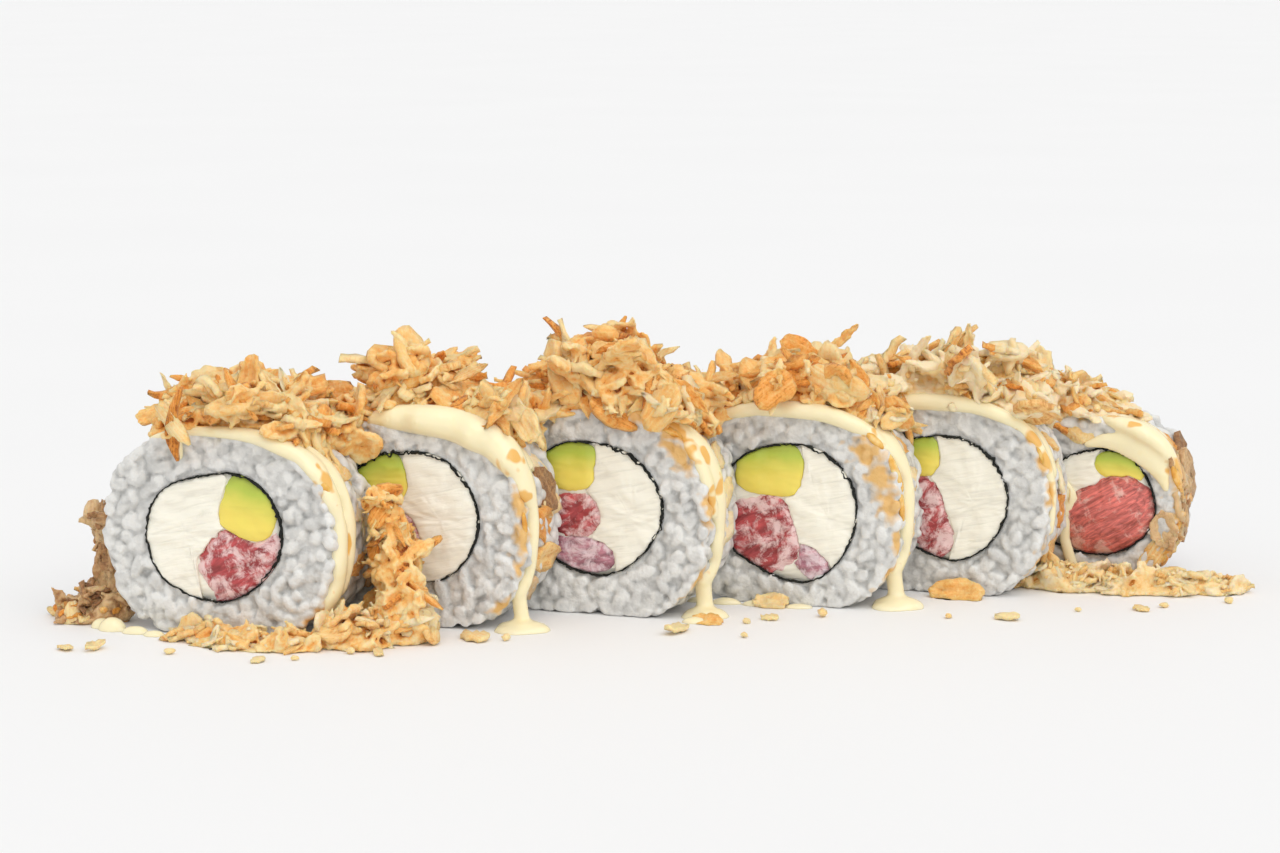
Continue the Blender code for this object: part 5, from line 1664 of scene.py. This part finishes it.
# Loose crumbs on the ground: right and away from the middle of the row, and length, in millimetres
CRUMBS = (
    (-132.3, -6.5, 4.6), (-126.3, -8.2, 5.4), (-95.5, -28.6, 4.2), (-70.6, -29.6, 4.4), (-48.1, -21.9, 8.0),
    (-5.2, -27.8, 7.6), (18.0, -21.5, 4.4), (67.7, -36.0, 6.0), (99.7, -36.2, 4.0), (106.0, -34.8, 2.4),
    (7.2, -36.2, 2.0), (-76.0, -27.2, 2.6), (-88.0, -29.5, 1.8), (30.0, -22.0, 2.6), (12.0, -23.5, 2.2),
    (86.0, -33.0, 2.0), (122.0, -34.5, 2.6), (-42.0, -24.5, 2.4), (56.0, -31.0, 2.2), (-112.0, -16.5, 2.6),
    (-60.0, 36.0, 4.0), (-12.0, 37.0, 5.0), (44.0, 36.5, 3.4), (92.0, 33.0, 4.4), (-104.0, 31.0, 3.6),
)


class URAMAKI_OT_crumbs(bpy.types.Operator):
    """Strews the loose flakes and crumbs round the row"""

    bl_idname = "uramaki.crumbs"
    bl_label = "Crumbs"

    def execute(self, context):
        rng = random.Random(8)
        shapes = onion_shapes(rng)
        copies = []
        for number, (right, away, length) in enumerate(CRUMBS):
            kind = "leaf" if length > 3.0 else "puff"
            at = Vector((right, away, 1.0)) * MM
            copy = piece_copy(
                rng.choice(shapes[kind]), length * MM, laid(at, UP, rng, 0.12), rng.uniform(0.2, 0.4)
            )
            copy[0][:, 2] += CRUMB_LIFT - copy[0][:, 2].min()
            copies.append(copy)
        mesh = joined_copies("onion_crumbs", copies, ("tone", "edge"))
        place_piece(mesh.name, mesh, bpy.data.materials["fried_onion"], (), "crisps")
        return {"FINISHED"}


# Stage

FLOOR_HALF = 25.0
WORLD_STRENGTH = 0.66
# Soft lights: name, the way that the light falls in the photograph's own axes, strength and spread
# in degrees
SUNS = (
    ("key_softbox", (-0.50, 0.75, -1.15), 1.26, 60.0),
    ("fill_softbox", (0.80, 0.60, -0.75), 0.42, 110.0),
)


class URAMAKI_OT_stage(bpy.types.Operator):
    """Sets the floor, the soft studio light and the camera at the photograph's angle"""

    bl_idname = "uramaki.stage"
    bl_label = "Stage"

    def execute(self, context):
        scene = context.scene
        bm = bmesh.new()
        bmesh.ops.create_grid(bm, x_segments=2, y_segments=2, size=FLOOR_HALF)
        floor = bpy.data.objects.new("studio_floor", mesh_from("studio_floor", bm))
        scene.collection.objects.link(floor)
        floor.data.materials.append(floor_material())
        world = bpy.data.worlds.new("studio")
        world.use_nodes = True
        background = world.node_tree.nodes["Background"]
        background.inputs["Color"].default_value = (1.0, 1.0, 1.0, 1.0)
        background.inputs["Strength"].default_value = WORLD_STRENGTH
        scene.world = world
        turn = Matrix.Rotation(-ROW_RECEDES, 3, "Z")
        for name, way, strength, spread in SUNS:
            light = bpy.data.lights.new(name, "SUN")
            light.energy = strength
            light.angle = math.radians(spread)
            sun = bpy.data.objects.new(name, light)
            scene.collection.objects.link(sun)
            sun.rotation_mode = "QUATERNION"
            sun.rotation_quaternion = (turn @ Vector(way)).to_track_quat("-Z", "Y")
        lens = bpy.data.cameras.new("photo_camera")
        lens.lens = CAMERA_LENS
        lens.sensor_width = 36.0
        lens.clip_start = 0.01
        camera = bpy.data.objects.new("photo_camera", lens)
        scene.collection.objects.link(camera)
        camera.location = FOOT + turn @ CAMERA_OFFSET
        ahead = turn @ Vector((0.0, math.cos(CAMERA_DIP), -math.sin(CAMERA_DIP)))
        camera.rotation_mode = "QUATERNION"
        camera.rotation_quaternion = ahead.to_track_quat("-Z", "Y")
        scene.camera = camera
        scene.view_settings.view_transform = "Standard"
        return {"FINISHED"}


STEPS = (
    URAMAKI_OT_rice, URAMAKI_OT_nori, URAMAKI_OT_fillings, URAMAKI_OT_sauce, URAMAKI_OT_onion,
    URAMAKI_OT_crumbs, URAMAKI_OT_stage,
)


class URAMAKI_PT_panel(bpy.types.Panel):
    """Lists the sizes, the colours and the steps that dress the roll"""

    bl_label = "Uramaki roll"
    bl_idname = "URAMAKI_PT_panel"
    bl_space_type = "VIEW_3D"
    bl_region_type = "UI"
    bl_category = "Uramaki"

    def draw(self, context):
        for group in (context.scene.uramaki_sizes, context.scene.uramaki_colours):
            column = self.layout.column(align=True)
            for name in group.__annotations__:
                column.prop(group, name)
        for step in STEPS:
            self.layout.operator(step.bl_idname)


CLASSES = (UramakiSizes, UramakiColours, *STEPS, URAMAKI_PT_panel)


def register():
    for cls in CLASSES:
        bpy.utils.register_class(cls)
    bpy.types.Scene.uramaki_sizes = PointerProperty(type=UramakiSizes)
    bpy.types.Scene.uramaki_colours = PointerProperty(type=UramakiColours)


def unregister():
    del bpy.types.Scene.uramaki_colours
    del bpy.types.Scene.uramaki_sizes
    for cls in reversed(CLASSES):
        bpy.utils.unregister_class(cls)


def main():
    register()
    bpy.ops.uramaki.rice()
    bpy.ops.uramaki.nori()
    bpy.ops.uramaki.fillings()
    bpy.ops.uramaki.sauce()
    bpy.ops.uramaki.onion()
    bpy.ops.uramaki.crumbs()
    bpy.ops.uramaki.stage()


if __name__ == "__main__":
    main()
